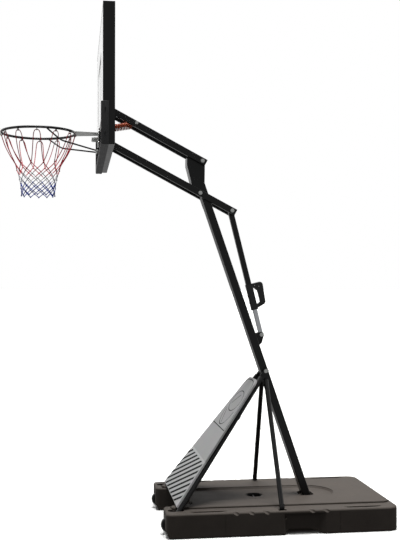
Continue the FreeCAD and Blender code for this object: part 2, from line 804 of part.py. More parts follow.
arm_bracket = make_arm_bracket()
nodes["board_bracket_right"] = arm_bracket
nodes["board_bracket_left"] = mirrored(arm_bracket)
bar_length = board_width - 2 * rail_width - 0.4
cross_bar = square_tube(cross_bar_size, cross_bar_size, -bar_length / 2, bar_length / 2, 2.0, 3.0)
cross_bar_place = Vector(0, bracket_front + cross_bar_size / 2 + 1, bar_z + cross_bar_size / 2)
cross_bar.Placement = Placement(cross_bar_place, Rotation(Vector(0, 1, 0), 90))
nodes["board_cross_bar"] = cross_bar
bracket_outer = arm_x + bracket_half + bracket_wall
nodes["board_pivot_bolts"] = Part.makeCompound(
    [bolt(point, bracket_outer, -bracket_outer - 14, pivot_bolt_radius)
     for point in (board_lower_pivot, board_upper_pivot)])
nodes["board_pivot_nuts"] = Part.makeCompound(
    [nut(point, -bracket_outer, pivot_bolt_radius) for point in (board_lower_pivot, board_upper_pivot)])
anchor_half = arm_x - bracket_half
nodes["spring_anchor"] = x_rod(-anchor_half, anchor_half, spring_anchor, spring_bolt_radius)


# ---------------------------------------------------------------- counterbalance spring
def make_counter_spring():
    """A coil along Z from the anchor pin to the arm pin, with an eye round each."""
    length = math.hypot(spring_pin[0] - spring_anchor[0], spring_pin[1] - spring_anchor[1])
    angle = math.degrees(math.atan2(spring_pin[1] - spring_anchor[1], spring_pin[0] - spring_anchor[0]))
    coil_radius = spring_outer_radius - spring_wire_radius
    coil_length = length - 2 * spring_hook_length
    helix = Part.makeHelix(spring_pitch, coil_length, coil_radius)
    section = Part.Wire(Part.makeCircle(spring_wire_radius, Vector(coil_radius, 0, 0), Vector(0, 1, 0)))
    coil = Part.Wire(helix).makePipeShell([section], True, True)
    coil.translate(Vector(0, 0, spring_hook_length))
    parts = [coil]
    eye_radius = spring_bolt_radius + spring_wire_radius + 1.5
    turns = coil_length / spring_pitch
    end_angle = 2 * math.pi * turns
    for z, heading, eye_z, near in ((spring_hook_length, 0.0, 0.0, eye_radius),
                                    (length - spring_hook_length, end_angle, length, length - eye_radius)):
        tip = Vector(coil_radius * math.cos(heading), coil_radius * math.sin(heading), z)
        centre = Vector(0, 0, z)
        parts.append(rod(tip, centre, spring_wire_radius - 0.2))
        parts.append(Part.makeSphere(spring_wire_radius - 0.1, centre))
        parts.append(rod(centre, Vector(0, 0, near), spring_wire_radius - 0.3))
        eye_centre = Vector(0, 0, eye_z)
        parts.append(Part.makeTorus(eye_radius, spring_wire_radius - 0.3, eye_centre, Vector(1, 0, 0)))
    spring = parts[0]
    for part in parts[1:]:
        spring = spring.fuse(part)
    return placed(spring, angle - 90, spring_anchor)


nodes["counter_spring"] = make_counter_spring()


# ---------------------------------------------------------------- rim
ring = Part.makeTorus(ring_radius, ring_rod / 2, Vector(0, ring_y, ring_z))
nodes["rim_ring"] = ring
mount_top = ring_z + 26.0
mount_bottom = board_bottom + pad_lap + 4.0
mount_front = board_face - rim_mount_thickness
flange_back = mount_front - 2.0
flange_front = flange_back - rim_flange_thickness
knuckle_radius = rim_hinge_radius + 4.0
spring_height = 128.0
breakaway_xs = (-36.0, 36.0)


def make_rim_plate():
    """The bent plate that carries the ring, with its hinge knuckle."""
    z1 = ring_z + rim_plate_thickness / 2
    z0 = z1 - rim_plate_thickness
    wide = rim_plate_half_width + 42
    top = plan_prism([(-rim_plate_half_width, flange_back), (-wide, ring_y + 195), (wide, ring_y + 195),
                      (rim_plate_half_width, flange_back)], z0, z1)
    top = top.cut(Part.makeCylinder(ring_radius, 60, Vector(0, ring_y, ring_z - 30)))
    top = top.cut(Part.makeTorus(ring_radius, ring_rod / 2, Vector(0, ring_y, ring_z)))
    flange = box(-rim_plate_half_width, rim_plate_half_width, flange_front, flange_back,
                 rim_hinge[1], z1)
    for x in breakaway_xs:
        flange = flange.cut(y_rod(flange_front - 1, flange_back + 1, x, board_bottom + spring_height, 8.0))
    knuckle = x_rod(-rim_plate_half_width, rim_plate_half_width, rim_hinge, knuckle_radius)
    body = fused([top, flange, knuckle])
    return body.cut(x_rod(-200, 200, rim_hinge, rim_hinge_radius + running_clearance))


nodes["rim_plate"] = make_rim_plate()


def make_rim_mount():
    plate = box(-rim_mount_half_width, rim_mount_half_width, mount_front, board_face,
                mount_bottom, mount_top)
    plate = plate.cut(mount_bolt_bores(4.0))
    parts = [plate]
    for sign in (-1, 1):
        x0, x1 = sorted((sign * (rim_plate_half_width + 1), sign * (rim_plate_half_width + 6)))
        parts.append(side_prism([(board_face - 3, rim_hinge[1] - 8), (board_face - 3, rim_hinge[1] + 26),
                                 (rim_hinge[0] - 6, rim_hinge[1] + 9), (rim_hinge[0] - 9, rim_hinge[1] - 2),
                                 (rim_hinge[0] - 5, rim_hinge[1] - 8)], x0, x1))
    body = fused(parts)
    body = body.cut(x_rod(-200, 200, rim_hinge, rim_hinge_radius))
    for x in breakaway_xs:
        body = body.cut(y_rod(mount_front - 1, board_face + 1, x, board_bottom + spring_height, 4.0))
    return body


nodes["rim_mount"] = make_rim_mount()
pin_half = rim_plate_half_width + 12
pin_head = x_rod(pin_half - 4, pin_half, rim_hinge, rim_hinge_radius + 2)
nodes["rim_hinge_pin"] = fused([x_rod(-pin_half, pin_half, rim_hinge, rim_hinge_radius),
                                pin_head, mirrored(pin_head)])


def mount_bolt(x, z):
    shank = y_rod(mount_front, bracket_front + bracket_wall, x, z, 4.0)
    head = y_rod(mount_front - 4, mount_front, x, z, 7.5)
    tail = y_rod(bracket_front + bracket_wall, bracket_front + bracket_wall + 5, x, z, 7.0)
    return fused([head, shank, tail])


nodes["rim_mount_bolts"] = Part.makeCompound([mount_bolt(x, z) for x, z in mount_bolt_places])

spring_end = flange_front - 32.0


def spring_bolt(x):
    z = board_bottom + spring_height
    shank = y_rod(spring_end - 8, board_face, x, z, 4.0)
    washer = y_rod(spring_end - 2, spring_end, x, z, 12.0)
    head = y_rod(spring_end - 8, spring_end - 2, x, z, 7.5)
    return fused([shank, washer, head])


def rim_spring(x):
    """A short compression spring round its bolt, between the flange and the washer."""
    wire = 1.8
    radius = 9.0
    length = flange_front - spring_end - 2 * wire - 0.4
    helix = Part.makeHelix(length / 6.0, length, radius)
    section = Part.Wire(Part.makeCircle(wire, Vector(radius, 0, 0), Vector(0, 1, 0)))
    coil = Part.Wire(helix).makePipeShell([section], True, True)
    coil.Placement = Placement(Vector(x, flange_front - wire - 0.2, board_bottom + spring_height),
                               Rotation(Vector(1, 0, 0), 90))
    return coil


nodes["rim_spring_bolts"] = Part.makeCompound([spring_bolt(x) for x in breakaway_xs])
nodes["rim_springs"] = Part.makeCompound([rim_spring(x) for x in breakaway_xs])


def make_brace():
    """A bent round bar from under the ring to the foot of the rim plate."""
    start = Vector(222, ring_y + 62, ring_z - 6)
    knee = Vector(172, ring_y + 146, ring_z - 70)
    end = Vector(rim_plate_half_width - 12, rim_hinge[0] - 3, rim_hinge[1] + 2)
    first = start.sub(knee)
    first.normalize()
    second = end.sub(knee)
    second.normalize()
    bend = 26.0
    a = knee.add(first.multiply(bend))
    b = knee.add(second.multiply(bend))
    half_turn = (math.pi - start.sub(knee).getAngle(end.sub(knee))) / 2
    radius = bend / math.tan(half_turn)
    middle = a.add(b).multiply(0.5).sub(knee)
    middle.normalize()
    arc_mid = knee.add(middle.multiply(radius / math.cos(half_turn) - radius))
    path = Part.Wire([Part.LineSegment(start, a).toShape(), Part.Arc(a, arc_mid, b).toShape(),
                      Part.LineSegment(b, end).toShape()])
    heading = a.sub(start)
    section = Part.Wire(Part.makeCircle(brace_radius, start, heading))
    bar = path.makePipeShell([section], True, False)
    return bar.cut(ring).cut(x_rod(-200, 200, rim_hinge, knuckle_radius)).cut(nodes["rim_plate"])


brace = make_brace()
nodes["rim_braces"] = Part.makeCompound(both_sides(brace))

hook_radius = 2.5


def net_hook(index):
    """A small open hook under the ring that holds one loop of the net."""
    angle = 2 * math.pi * index / net_loops
    place = Vector(ring_radius * math.sin(angle), ring_y - ring_radius * math.cos(angle),
                   ring_z - ring_rod / 2 - 6)
    hook = Part.makeTorus(7.0, hook_radius, place, Vector(math.cos(angle), math.sin(angle), 0))
    return hook.cut(ring)


nodes["net_hooks"] = Part.makeCompound([net_hook(i) for i in range(net_loops)])


def make_net():
    """The hanging net as a thin open shell of revolution."""
    top = ring_z - ring_rod / 2 - 16
    bottom = ring_z - net_depth
    waist = bottom + 0.42 * (top - bottom)
    waist_radius = net_bottom_radius + 24
    outer = [Vector(net_top_radius, 0, top), Vector(waist_radius, 0, waist),
             Vector(net_bottom_radius, 0, bottom)]
    inner = [point.sub(Vector(net_wall, 0, 0)) for point in reversed(outer)]
    ring_face = Part.Face(Part.makePolygon(outer + inner + outer[:1]))
    shell = ring_face.revolve(Vector(0, 0, 0), Vector(0, 0, 1), 360)
    shell.translate(Vector(0, ring_y, 0))
    return shell


nodes["net"] = make_net()


# ---------------------------------------------------------------- height adjuster
def adjuster_part(shape):
    return placed(shape, adjuster_lean, adjuster_head)


outer_bottom = -outer_length
pawl_pivot = (36.0, outer_bottom + 151.0)
trigger_pivot = (62.0, outer_bottom + 139.0)
window = box(-5, 5, 10, outer_size / 2 + 2.5, pawl_pivot[1] - 14, pawl_pivot[1] + 8)
head_bore = x_rod(-200, 200, (0, 0), pivot_bolt_radius + running_clearance)
outer_tube = square_tube(outer_size, outer_size, outer_bottom, outer_top, adjuster_wall, 4.0)
nodes["adjuster_outer"] = adjuster_part(outer_tube.cut(head_bore).cut(window))
inner_tube = square_tube(inner_size, inner_size, -adjuster_length - inner_end,
                         outer_bottom + inner_overlap, adjuster_wall, 3.0)
foot_bore = x_rod(-200, 200, (0, -adjuster_length), pivot_bolt_radius + running_clearance)
nodes["adjuster_inner"] = adjuster_part(inner_tube.cut(foot_bore))


def make_sleeve():
    """The moulded sleeve round the outer tube, with the D-shaped handle on its rear side."""
    z0 = outer_bottom - 4
    z1 = z0 + sleeve_length
    size = outer_size + 2 * sleeve_wall
    body = round_bar(size, size, z0, z1, 6.0)
    for bump in (48.0, 96.0):
        body = body.fuse(x_rod(-10, 10, (-size / 2 + 4, z0 + bump), 7.0))
    half = size / 2
    bar = [(half - 6, z1), (94, z1), (82, z1 - 148), (half - 6, z0 + 4)]
    grip = side_prism(bar, -handle_width / 2, handle_width / 2)
    outer_corners = [e for e in grip.Edges if e.BoundBox.XLength > 1 and e.CenterOfMass.y > 75]
    grip = grip.makeFillet(22.0, outer_corners)
    long_edges = [e for e in grip.Edges if e.BoundBox.XLength < 0.01 and e.CenterOfMass.y > half]
    grip = grip.makeFillet(5.0, long_edges)
    opening = side_prism([(half, z1 - 32), (28, z1 - 30), (47, z1 - 56), (47, z0 + 42), (half, z0 + 30)],
                         -handle_width, handle_width)
    grip = grip.cut(opening)
    body = fused([body, grip])
    body = body.cut(round_bar(outer_size, outer_size, z0 - 1, z1 + 1, 4.0))
    body = body.fuse(square_tube(size, size, z0, z0 + 4, sleeve_wall + adjuster_wall, 6.0))
    body = body.cut(round_bar(outer_size - 2 * adjuster_wall, outer_size - 2 * adjuster_wall,
                              z0 - 1, z0 + 5, 1.5))
    channel = side_prism([(44, z0 + 40), (65, z0 + 40), (70, z1 - 26), (54, z1 - 26), (44, z1 - 50)],
                         -8.6, 8.6)
    pocket = box(-5.5, 5.5, 10, 50, pawl_pivot[1] - 14, pawl_pivot[1] + 8)
    pins = [x_rod(-100, 100, point, 2.5) for point in (pawl_pivot, trigger_pivot)]
    return bored(body, [channel, pocket] + pins)


nodes["adjuster_sleeve"] = adjuster_part(make_sleeve())
nodes["handle_pins"] = Part.makeCompound(
    [adjuster_part(x_rod(-handle_width / 2, handle_width / 2, point, 2.5))
     for point in (pawl_pivot, trigger_pivot)])


def make_trigger():
    """The finger lever on the inner side of the handle's outer bar."""
    z0 = outer_bottom - 4
    z1 = z0 + sleeve_length
    body = side_prism([(56, z1 - 28), (67, z1 - 28), (62, z0 + 44), (49, z0 + 44), (49, z1 - 54)], -8, 8)
    for finger in range(4):
        groove = z0 + 56 + 20 * finger
        body = body.cut(x_rod(-9, 9, (38, groove), 13.5))
    body = body.cut(side_prism([(58.5, z0 + 40), (80, z0 + 40), (80, z1 - 60), (61.5, z1 - 60)], -9, 9))
    return body.cut(x_rod(-20, 20, trigger_pivot, 2.5 + running_clearance))


nodes["trigger"] = adjuster_part(make_trigger())


def make_pawl():
    """The brake pawl, whose tip faces the inner tube through the window of the outer tube."""
    y, z = pawl_pivot
    tip = inner_size / 2 + 0.5
    body = side_prism([(tip, z - 7), (tip, z + 1), (y - 4, z + 5), (y + 5, z + 4), (y + 5, z - 6),
                       (y - 4, z - 7)], -4, 4)
    return body.cut(x_rod(-20, 20, pawl_pivot, 2.5 + running_clearance))


nodes["lock_pawl"] = adjuster_part(make_pawl())


def make_foot_bracket():
    """The clevis on the rear of the pole that takes the adjuster's lower end."""
    back = pole_depth / 2
    gap = inner_size / 2 + 6
    plate = [pole_point(adjuster_foot_along - 62, back), pole_point(adjuster_foot_along + 20, back),
             shifted(adjuster_foot, -4, 18), shifted(adjuster_foot, 12, 14), shifted(adjuster_foot, 16, -4),
             shifted(adjuster_foot, 2, -52)]
    parts = [side_prism(plate, gap, gap + 4), side_prism(plate, -gap - 4, -gap)]
    saddle = box(-gap - 4, gap + 4, back, back + 4, adjuster_foot_along - 62, adjuster_foot_along + 20)
    parts.append(placed(saddle, pole_tilt, pole_point(0, 0)))
    return fused(parts).cut(x_rod(-200, 200, adjuster_foot, pivot_bolt_radius))


nodes["foot_bracket"] = make_foot_bracket()
foot_gap = inner_size / 2 + 6
shoulder_bolt = bolt(adjuster_foot, foot_gap + 4, foot_gap - 3, pivot_bolt_radius)
nodes["foot_bolts"] = Part.makeCompound(both_sides(shoulder_bolt))


# ---------------------------------------------------------------- struts
strut_top = Vector(front_strut_top_x, strut_pivot[0], strut_pivot[1])
strut_foot = Vector(front_strut_foot_x, wheel_axle[0], wheel_axle[1])


def along_strut(share):
    return strut_top.add(strut_foot.sub(strut_top).multiply(share))


def tube_between(start, end, radius):
    outer = rod(start, end, radius)
    line = end.sub(start)
    line.normalize()
    line.multiply(2)
    return outer.cut(rod(start.sub(line), end.add(line), radius - strut_wall))


def strut_tab_plate(point, angle, z0, z1, x, bore, width=30.0):
    tab = round_bar(strut_tab, width, z0, z1, 1.0)
    tab = placed(tab, angle, point, x)
    return tab.cut(x_rod(x - 20, x + 20, point, bore))


tab_angle = strut_slope - 90


def make_front_strut():
    tube = tube_between(along_strut(0.045), along_strut(0.95), front_strut_radius)
    top_tab = strut_tab_plate(strut_pivot, tab_angle, -110, 16, front_strut_top_x + 1.5, pivot_bolt_radius)
    foot_tab = strut_tab_plate(wheel_axle, tab_angle, -10, 70, front_strut_foot_x, axle_radius, 26.0)
    return fused([tube, top_tab, foot_tab])


front_strut = make_front_strut()
nodes["front_strut_right"] = front_strut
nodes["front_strut_left"] = mirrored(front_strut)


def make_side_strut():
    top = Vector(side_strut_top_x + 14, strut_pivot[0], strut_pivot[1] - 58)
    end = Vector(side_strut_foot_x - 4, side_foot_y, base_height + 4)
    tube = tube_between(top, end, side_strut_radius)
    top_tab = strut_tab_plate(strut_pivot, 0, -100, 16, side_strut_top_x, pivot_bolt_radius)
    foot_tab = round_bar(strut_tab, 30.0, side_strut_foot_z, base_height + 24, 1.0)
    foot_tab.translate(Vector(side_strut_foot_x, side_foot_y, 0))
    foot_tab = foot_tab.cut(x_rod(300, 500, (side_foot_y, side_strut_foot_z + 16), 4.0))
    return fused([tube, top_tab, foot_tab])


side_strut = make_side_strut()
nodes["side_strut_right"] = side_strut
nodes["side_strut_left"] = mirrored(side_strut)
strut_outer = front_strut_top_x + 1.5 + strut_tab / 2
nodes["strut_bolt"] = bolt(strut_pivot, strut_outer, -strut_outer - 14, pivot_bolt_radius)
nodes["pivot_nuts"] = Part.makeCompound(
    [nut(upper_pivot, -arm_face - 0.5, pivot_bolt_radius),
     nut(lower_pivot, -arm_face - 0.5, pivot_bolt_radius),
     nut(strut_pivot, -strut_outer, pivot_bolt_radius)])
foot_bolt_point = (side_foot_y, side_strut_foot_z + 16)
tab_face = side_strut_foot_x + strut_tab / 2
foot_bolt = bolt(foot_bolt_point, tab_face, lug_wall_x - 18, 4.0)
nodes["strut_foot_bolts"] = Part.makeCompound(both_sides(foot_bolt))


# ---------------------------------------------------------------- front panel on the struts
def shield_half(distance):
    """Half width of the panel at a distance down the slope from the strut bolt."""
    return shield_half_at_bolt + shield_taper * distance


def make_shield():
    z0 = front_strut_radius + shield_gap
    z1 = z0 + shield_thickness
    bottom_half = shield_half(shield_bottom)
    top_half = shield_half(shield_top)
    plate = plan_prism([(-bottom_half, -shield_bottom), (bottom_half, -shield_bottom),
                        (top_half, -shield_top), (-top_half, -shield_top)], z0, z1)
    top_corners = [e for e in upright_edges(plate) if e.CenterOfMass.y > -shield_top - 1]
    plate = plate.makeFillet(shield_corner_radius, top_corners)
    plate = plate.makeFillet(4.0, top_loop(plate, z1))
    shoulder = shield_top + shield_corner_radius + 10
    inner = plan_prism([(-bottom_half + 20, -shield_bottom + 14), (bottom_half - 20, -shield_bottom + 14),
                        (shield_half(shoulder) - 20, -shoulder), (20 - shield_half(shoulder), -shoulder)],
                       z0 - 1, z1 - 4)
    return plate.cut(inner)


shield = make_shield()
nodes["front_panel"] = placed(shield, strut_slope, strut_pivot)


def shield_clip(distance):
    """A strap round a strut that holds the front panel, at a distance down from the strut bolt."""
    start = along_strut(distance / strut_run)
    end = along_strut((distance + clip_length) / strut_run)
    strap = rod(start, end, front_strut_radius + 3).cut(rod(start, end, front_strut_radius))
    slab = box(-600, 600, -shield_bottom - 200, 200, front_strut_radius + shield_gap, 200)
    return strap.cut(placed(slab, strut_slope, strut_pivot))


clips = []
for distance in (shield_top + clip_inset_top, shield_bottom - clip_inset_bottom):
    clips += both_sides(shield_clip(distance))
nodes["panel_clips"] = Part.makeCompound(clips)


# ---------------------------------------------------------------- write the sub-parts
os.makedirs("parts", exist_ok=True)
for name, shape in nodes.items():
    shape.exportStep("parts/" + name + ".step")
print(len(nodes), "nodes")
for label, point in (("lower_pivot", lower_pivot), ("upper_pivot", upper_pivot),
                     ("board_lower_pivot", board_lower_pivot), ("board_upper_pivot", board_upper_pivot),
                     ("adjuster_head", adjuster_head), ("adjuster_foot", adjuster_foot),
                     ("spring_anchor", spring_anchor), ("spring_pin", spring_pin),
                     ("rim_hinge", rim_hinge), ("wheel_axle", wheel_axle), ("strut_pivot", strut_pivot)):
    print(label, round(point[0], 3), round(point[1], 3))
print("ring", round(ring_y, 3), round(ring_z, 3), "board", round(board_face, 3), round(board_bottom, 3))
print("adjuster", round(adjuster_length, 3), round(adjuster_lean, 4))
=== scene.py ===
import math

import bmesh
import bpy
from mathutils import Matrix, Vector


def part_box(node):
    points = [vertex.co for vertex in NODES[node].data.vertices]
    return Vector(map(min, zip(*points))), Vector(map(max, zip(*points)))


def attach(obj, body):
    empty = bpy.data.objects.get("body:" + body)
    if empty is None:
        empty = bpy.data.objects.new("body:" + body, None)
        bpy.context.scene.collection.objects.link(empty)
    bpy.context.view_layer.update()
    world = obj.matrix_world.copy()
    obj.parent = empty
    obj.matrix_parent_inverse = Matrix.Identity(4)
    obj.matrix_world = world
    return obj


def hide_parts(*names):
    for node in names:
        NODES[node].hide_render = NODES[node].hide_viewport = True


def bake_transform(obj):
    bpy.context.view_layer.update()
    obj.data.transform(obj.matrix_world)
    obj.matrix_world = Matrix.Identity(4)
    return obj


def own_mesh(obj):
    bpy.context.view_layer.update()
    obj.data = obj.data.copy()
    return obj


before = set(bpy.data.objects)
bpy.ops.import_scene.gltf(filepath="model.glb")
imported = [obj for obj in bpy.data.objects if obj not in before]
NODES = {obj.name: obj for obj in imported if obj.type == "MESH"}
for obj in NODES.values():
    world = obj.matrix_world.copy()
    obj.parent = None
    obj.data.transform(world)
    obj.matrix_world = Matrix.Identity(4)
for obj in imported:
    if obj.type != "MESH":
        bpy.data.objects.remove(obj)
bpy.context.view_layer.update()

bl_info = {
    "name": "Portable Basketball Hoop",
    "version": (1, 0, 0),
    "blender": (4, 5, 0),
    "location": "View3D > Sidebar > Hoop",
    "description": "Finishes a portable basketball hoop: paint, springs, net, board pad and front panel",
    "category": "Object",
}


# ---------------------------------------------------------------- places taken from the frame
def middle(node):
    low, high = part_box(node)
    return (low + high) / 2


ring_centre = middle("rim_ring")
hook_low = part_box("net_hooks")[0]
strut_bolt = middle("strut_bolt")
wheel_axle = middle("wheel_axles")
spring_front = middle("spring_anchor")
arm_bolt = middle("spring_bolt")
board_low, board_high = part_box("board_frame")
board_face = board_low.y

down_strut = Vector((0, wheel_axle.y - strut_bolt.y, wheel_axle.z - strut_bolt.z)).normalized()
off_strut = Vector((0, down_strut.z, -down_strut.y))
panel_face = max((v.co - strut_bolt).dot(off_strut) for v in NODES["front_panel"].data.vertices)
panel_plane = Matrix.Translation(strut_bolt + off_strut * panel_face) @ Matrix(
    (Vector((1, 0, 0)), down_strut, off_strut)).transposed().to_4x4()


# ---------------------------------------------------------------- helpers
def linear(hex_colour):
    """sRGB hex to linear red, green and blue."""
    parts = [int(hex_colour[i:i + 2], 16) / 255 for i in (1, 3, 5)]
    return tuple(p / 12.92 if p <= 0.04045 else ((p + 0.055) / 1.055) ** 2.4 for p in parts)


def per_metre(millimetres):
    """Texture scale whose features are about this size."""
    return 1000.0 / millimetres


def add_node(tree, kind, settings=None, links=None):
    """Adds one shader node, sets its inputs or properties and links its inputs."""
    node = tree.nodes.new(kind)
    for name, value in (settings or {}).items():
        if isinstance(name, int) or name in node.inputs:
            node.inputs[name].default_value = value
        else:
            setattr(node, name, value)
    for name, socket in (links or {}).items():
        tree.links.new(socket, node.inputs[name])
    return node


def new_material(name, **shader_settings):
    """An empty node material with its surface shader and object coordinates."""
    material = bpy.data.materials.new(name)
    material.use_nodes = True
    tree = material.node_tree
    tree.nodes.clear()
    inputs = {name.replace("_", " "): value for name, value in shader_settings.items()}
    shader = add_node(tree, "ShaderNodeBsdfPrincipled", inputs)
    add_node(tree, "ShaderNodeOutputMaterial", {}, {"Surface": shader.outputs["BSDF"]})
    coords = add_node(tree, "ShaderNodeTexCoord").outputs["Object"]
    return material, tree, shader, coords


def noise(tree, coords, millimetres, detail):
    """Cloudy noise whose features are about this size."""
    return add_node(tree, "ShaderNodeTexNoise", {"Scale": per_metre(millimetres), "Detail": detail},
                    {"Vector": coords})


def vary_roughness(tree, shader, socket, low, high):
    """Lets a pattern set the surface's roughness between two values."""
    spread = add_node(tree, "ShaderNodeMapRange", {"To Min": low, "To Max": high}, {"Value": socket})
    tree.links.new(spread.outputs["Result"], shader.inputs["Roughness"])


def raise_bump(tree, shader, socket, strength, distance):
    """Lets a pattern stand up from the surface by a distance in metres."""
    bump = add_node(tree, "ShaderNodeBump", {"Strength": strength, "Distance": distance},
                    {"Height": socket})
    tree.links.new(bump.outputs["Normal"], shader.inputs["Normal"])


def paint(node, material):
    """Gives a carried-over node its finish."""
    data = NODES[node].data
    data.materials.clear()
    data.materials.append(material)


def new_piece(name, bm, material, body=None, replaces=(), smooth=30.0):
    """Makes a finished piece from a bmesh, with its place in its mesh."""
    mesh = bpy.data.meshes.new(name)
    bm.to_mesh(mesh)
    bm.free()
    mesh.materials.append(material)
    piece = bpy.data.objects.new(name, mesh)
    bpy.context.scene.collection.objects.link(piece)
    mesh.shade_smooth()
    if smooth:
        mesh.set_sharp_from_angle(angle=math.radians(smooth))
    if body:
        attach(piece, body)
    if replaces:
        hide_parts(*replaces)
    return piece


def wire_bmesh(paths, radius, closed=False, resolution=3, sides=2):
    """A bmesh of round wires that follow smooth lines through the paths' control points."""
    curve = bpy.data.curves.new("wire", "CURVE")
    curve.dimensions = "3D"
    curve.bevel_depth = radius
    curve.bevel_resolution = sides
    curve.resolution_u = resolution
    curve.use_fill_caps = True
    for path in paths:
        spline = curve.splines.new("NURBS")
        spline.points.add(len(path) - 1)
        for point, place in zip(spline.points, path):
            point.co = (*place, 1.0)
        spline.order_u = 3
        spline.use_cyclic_u = closed
        spline.use_endpoint_u = not closed
    holder = bpy.data.objects.new("wire", curve)
    mesh = bpy.data.meshes.new_from_object(holder)
    bm = bmesh.new()
    bm.from_mesh(mesh)
    bpy.data.meshes.remove(mesh)
    bpy.data.objects.remove(holder)
    bpy.data.curves.remove(curve)
    return bm


def clipped(bm, point, outward):
    """Cuts away what lies beyond a plane and closes the cut."""
    result = bmesh.ops.bisect_plane(bm, geom=bm.verts[:] + bm.edges[:] + bm.faces[:], plane_co=point,
                                    plane_no=outward, clear_outer=True)
    edges = [e for e in result["geom_cut"] if isinstance(e, bmesh.types.BMEdge)]
    if edges:
        bmesh.ops.edgenet_fill(bm, edges=edges)


# ---------------------------------------------------------------- settings
class HoopPaint(bpy.types.PropertyGroup):
    steel: bpy.props.FloatVectorProperty(
        name="Steelwork", description="Colour of the powder-coated tubes, board frame and ring",
        subtype="COLOR", size=3, min=0, max=1, default=linear("#0a0a0b"))
    tank: bpy.props.FloatVectorProperty(
        name="Tank", description="Colour of the moulded ballast tank",
        subtype="COLOR", size=3, min=0, max=1, default=linear("#4c4641"))
    panel: bpy.props.FloatVectorProperty(
        name="Front panel", description="Colour of the bare front panel",
        subtype="COLOR", size=3, min=0, max=1, default=linear("#a8a8a8"))
    panel_field: bpy.props.FloatVectorProperty(
        name="Panel field", description="Colour of the grey field over the upper part of the front panel",
        subtype="COLOR", size=3, min=0, max=1, default=linear("#8f8f8f"))
    spring: bpy.props.FloatVectorProperty(
        name="Counterbalance spring", description="Colour of the coated coil spring",
        subtype="COLOR", size=3, min=0, max=1, default=linear("#9c421e"))


class HoopNet(bpy.types.PropertyGroup):
    cord: bpy.props.FloatProperty(
        name="Cord", description="Diameter of the net's cord", unit="LENGTH", subtype="DISTANCE",
        default=0.0054, min=0.002, max=0.008, precision=4)
    knot: bpy.props.FloatProperty(
        name="Knot", description="Width of each knot", unit="LENGTH", subtype="DISTANCE",
        default=0.0105, min=0.004, max=0.02, precision=4)
    top: bpy.props.FloatVectorProperty(
        name="Upper cord", description="Colour of the upper part of the net",
        subtype="COLOR", size=3, min=0, max=1, default=linear("#d22a3a"))
    centre: bpy.props.FloatVectorProperty(
        name="Middle cord", description="Colour of the middle part of the net",
        subtype="COLOR", size=3, min=0, max=1, default=linear("#f0f0f2"))
    bottom: bpy.props.FloatVectorProperty(
        name="Lower cord", description="Colour of the lower part of the net",
        subtype="COLOR", size=3, min=0, max=1, default=linear("#2b4fc0"))


class HoopSprings(bpy.types.PropertyGroup):
    wire: bpy.props.FloatProperty(
        name="Wire", description="Wire diameter of the counterbalance spring", unit="LENGTH",
        subtype="DISTANCE", default=0.0084, min=0.003, max=0.009, precision=4)
    turns: bpy.props.FloatProperty(
        name="Turns", description="Turns of the counterbalance spring", default=11.0, min=5, max=14)
    rim_turns: bpy.props.FloatProperty(
        name="Rim spring turns", description="Turns of each breakaway spring", default=6.0, min=3, max=8)


class HoopPrint(bpy.types.PropertyGroup):
    stripe: bpy.props.FloatProperty(
        name="Stripe", description="Width of a slanting stripe on the front panel", unit="LENGTH",
        subtype="DISTANCE", default=0.019, min=0.004, max=0.03, precision=4)
    spacing: bpy.props.FloatProperty(
        name="Spacing", description="Distance across the panel from one stripe to the next", unit="LENGTH",
        subtype="DISTANCE", default=0.102, min=0.05, max=0.2, precision=3)
    line: bpy.props.FloatProperty(
        name="Court line", description="Width of the court lines on the front panel", unit="LENGTH",
        subtype="DISTANCE", default=0.006, min=0.002, max=0.02, precision=4)
    target: bpy.props.FloatProperty(
        name="Target line", description="Width of the white rectangle's lines on the clear board",
        unit="LENGTH", subtype="DISTANCE", default=0.05, min=0.02, max=0.08, precision=3)


# ---------------------------------------------------------------- finishes
def powder_coated_steel(colour, name="Powder-coated steel, gloss black"):
    """Polyester powder baked on steel: a deep gloss with a faint orange peel about 2 mm across."""
    material, tree, shader, coords = new_material(
        name, Base_Color=(*colour, 1), IOR=1.5, Specular_IOR_Level=0.28, Coat_Weight=0.08,
        Coat_Roughness=0.08)
    tone = noise(tree, coords, 60, 3.0)
    vary_roughness(tree, shader, tone.outputs["Fac"], 0.24, 0.4)
    peel = noise(tree, coords, 2.2, 1.0)
    raise_bump(tree, shader, peel.outputs["Fac"], 0.12, 0.0002)
    return material


def zinc_plated_steel():
    """Bright zinc on turned bolt heads and pressed plate: cool grey, a little cloudy, finely turned."""
    material, tree, shader, coords = new_material("Zinc-plated steel", Metallic=1.0)
    cloud = noise(tree, coords, 14, 4.0)
    tint = add_node(tree, "ShaderNodeMix", {"data_type": "RGBA", 6: (*linear("#c9cac8"), 1),
                                            7: (*linear("#a9aba8"), 1)}, {0: cloud.outputs["Fac"]})
    vary_roughness(tree, shader, cloud.outputs["Fac"], 0.25, 0.45)
    marks = noise(tree, coords, 0.8, 2.0)
    raise_bump(tree, shader, marks.outputs["Fac"], 0.08, 0.0001)
    tree.links.new(tint.outputs[2], shader.inputs["Base Color"])
    return material


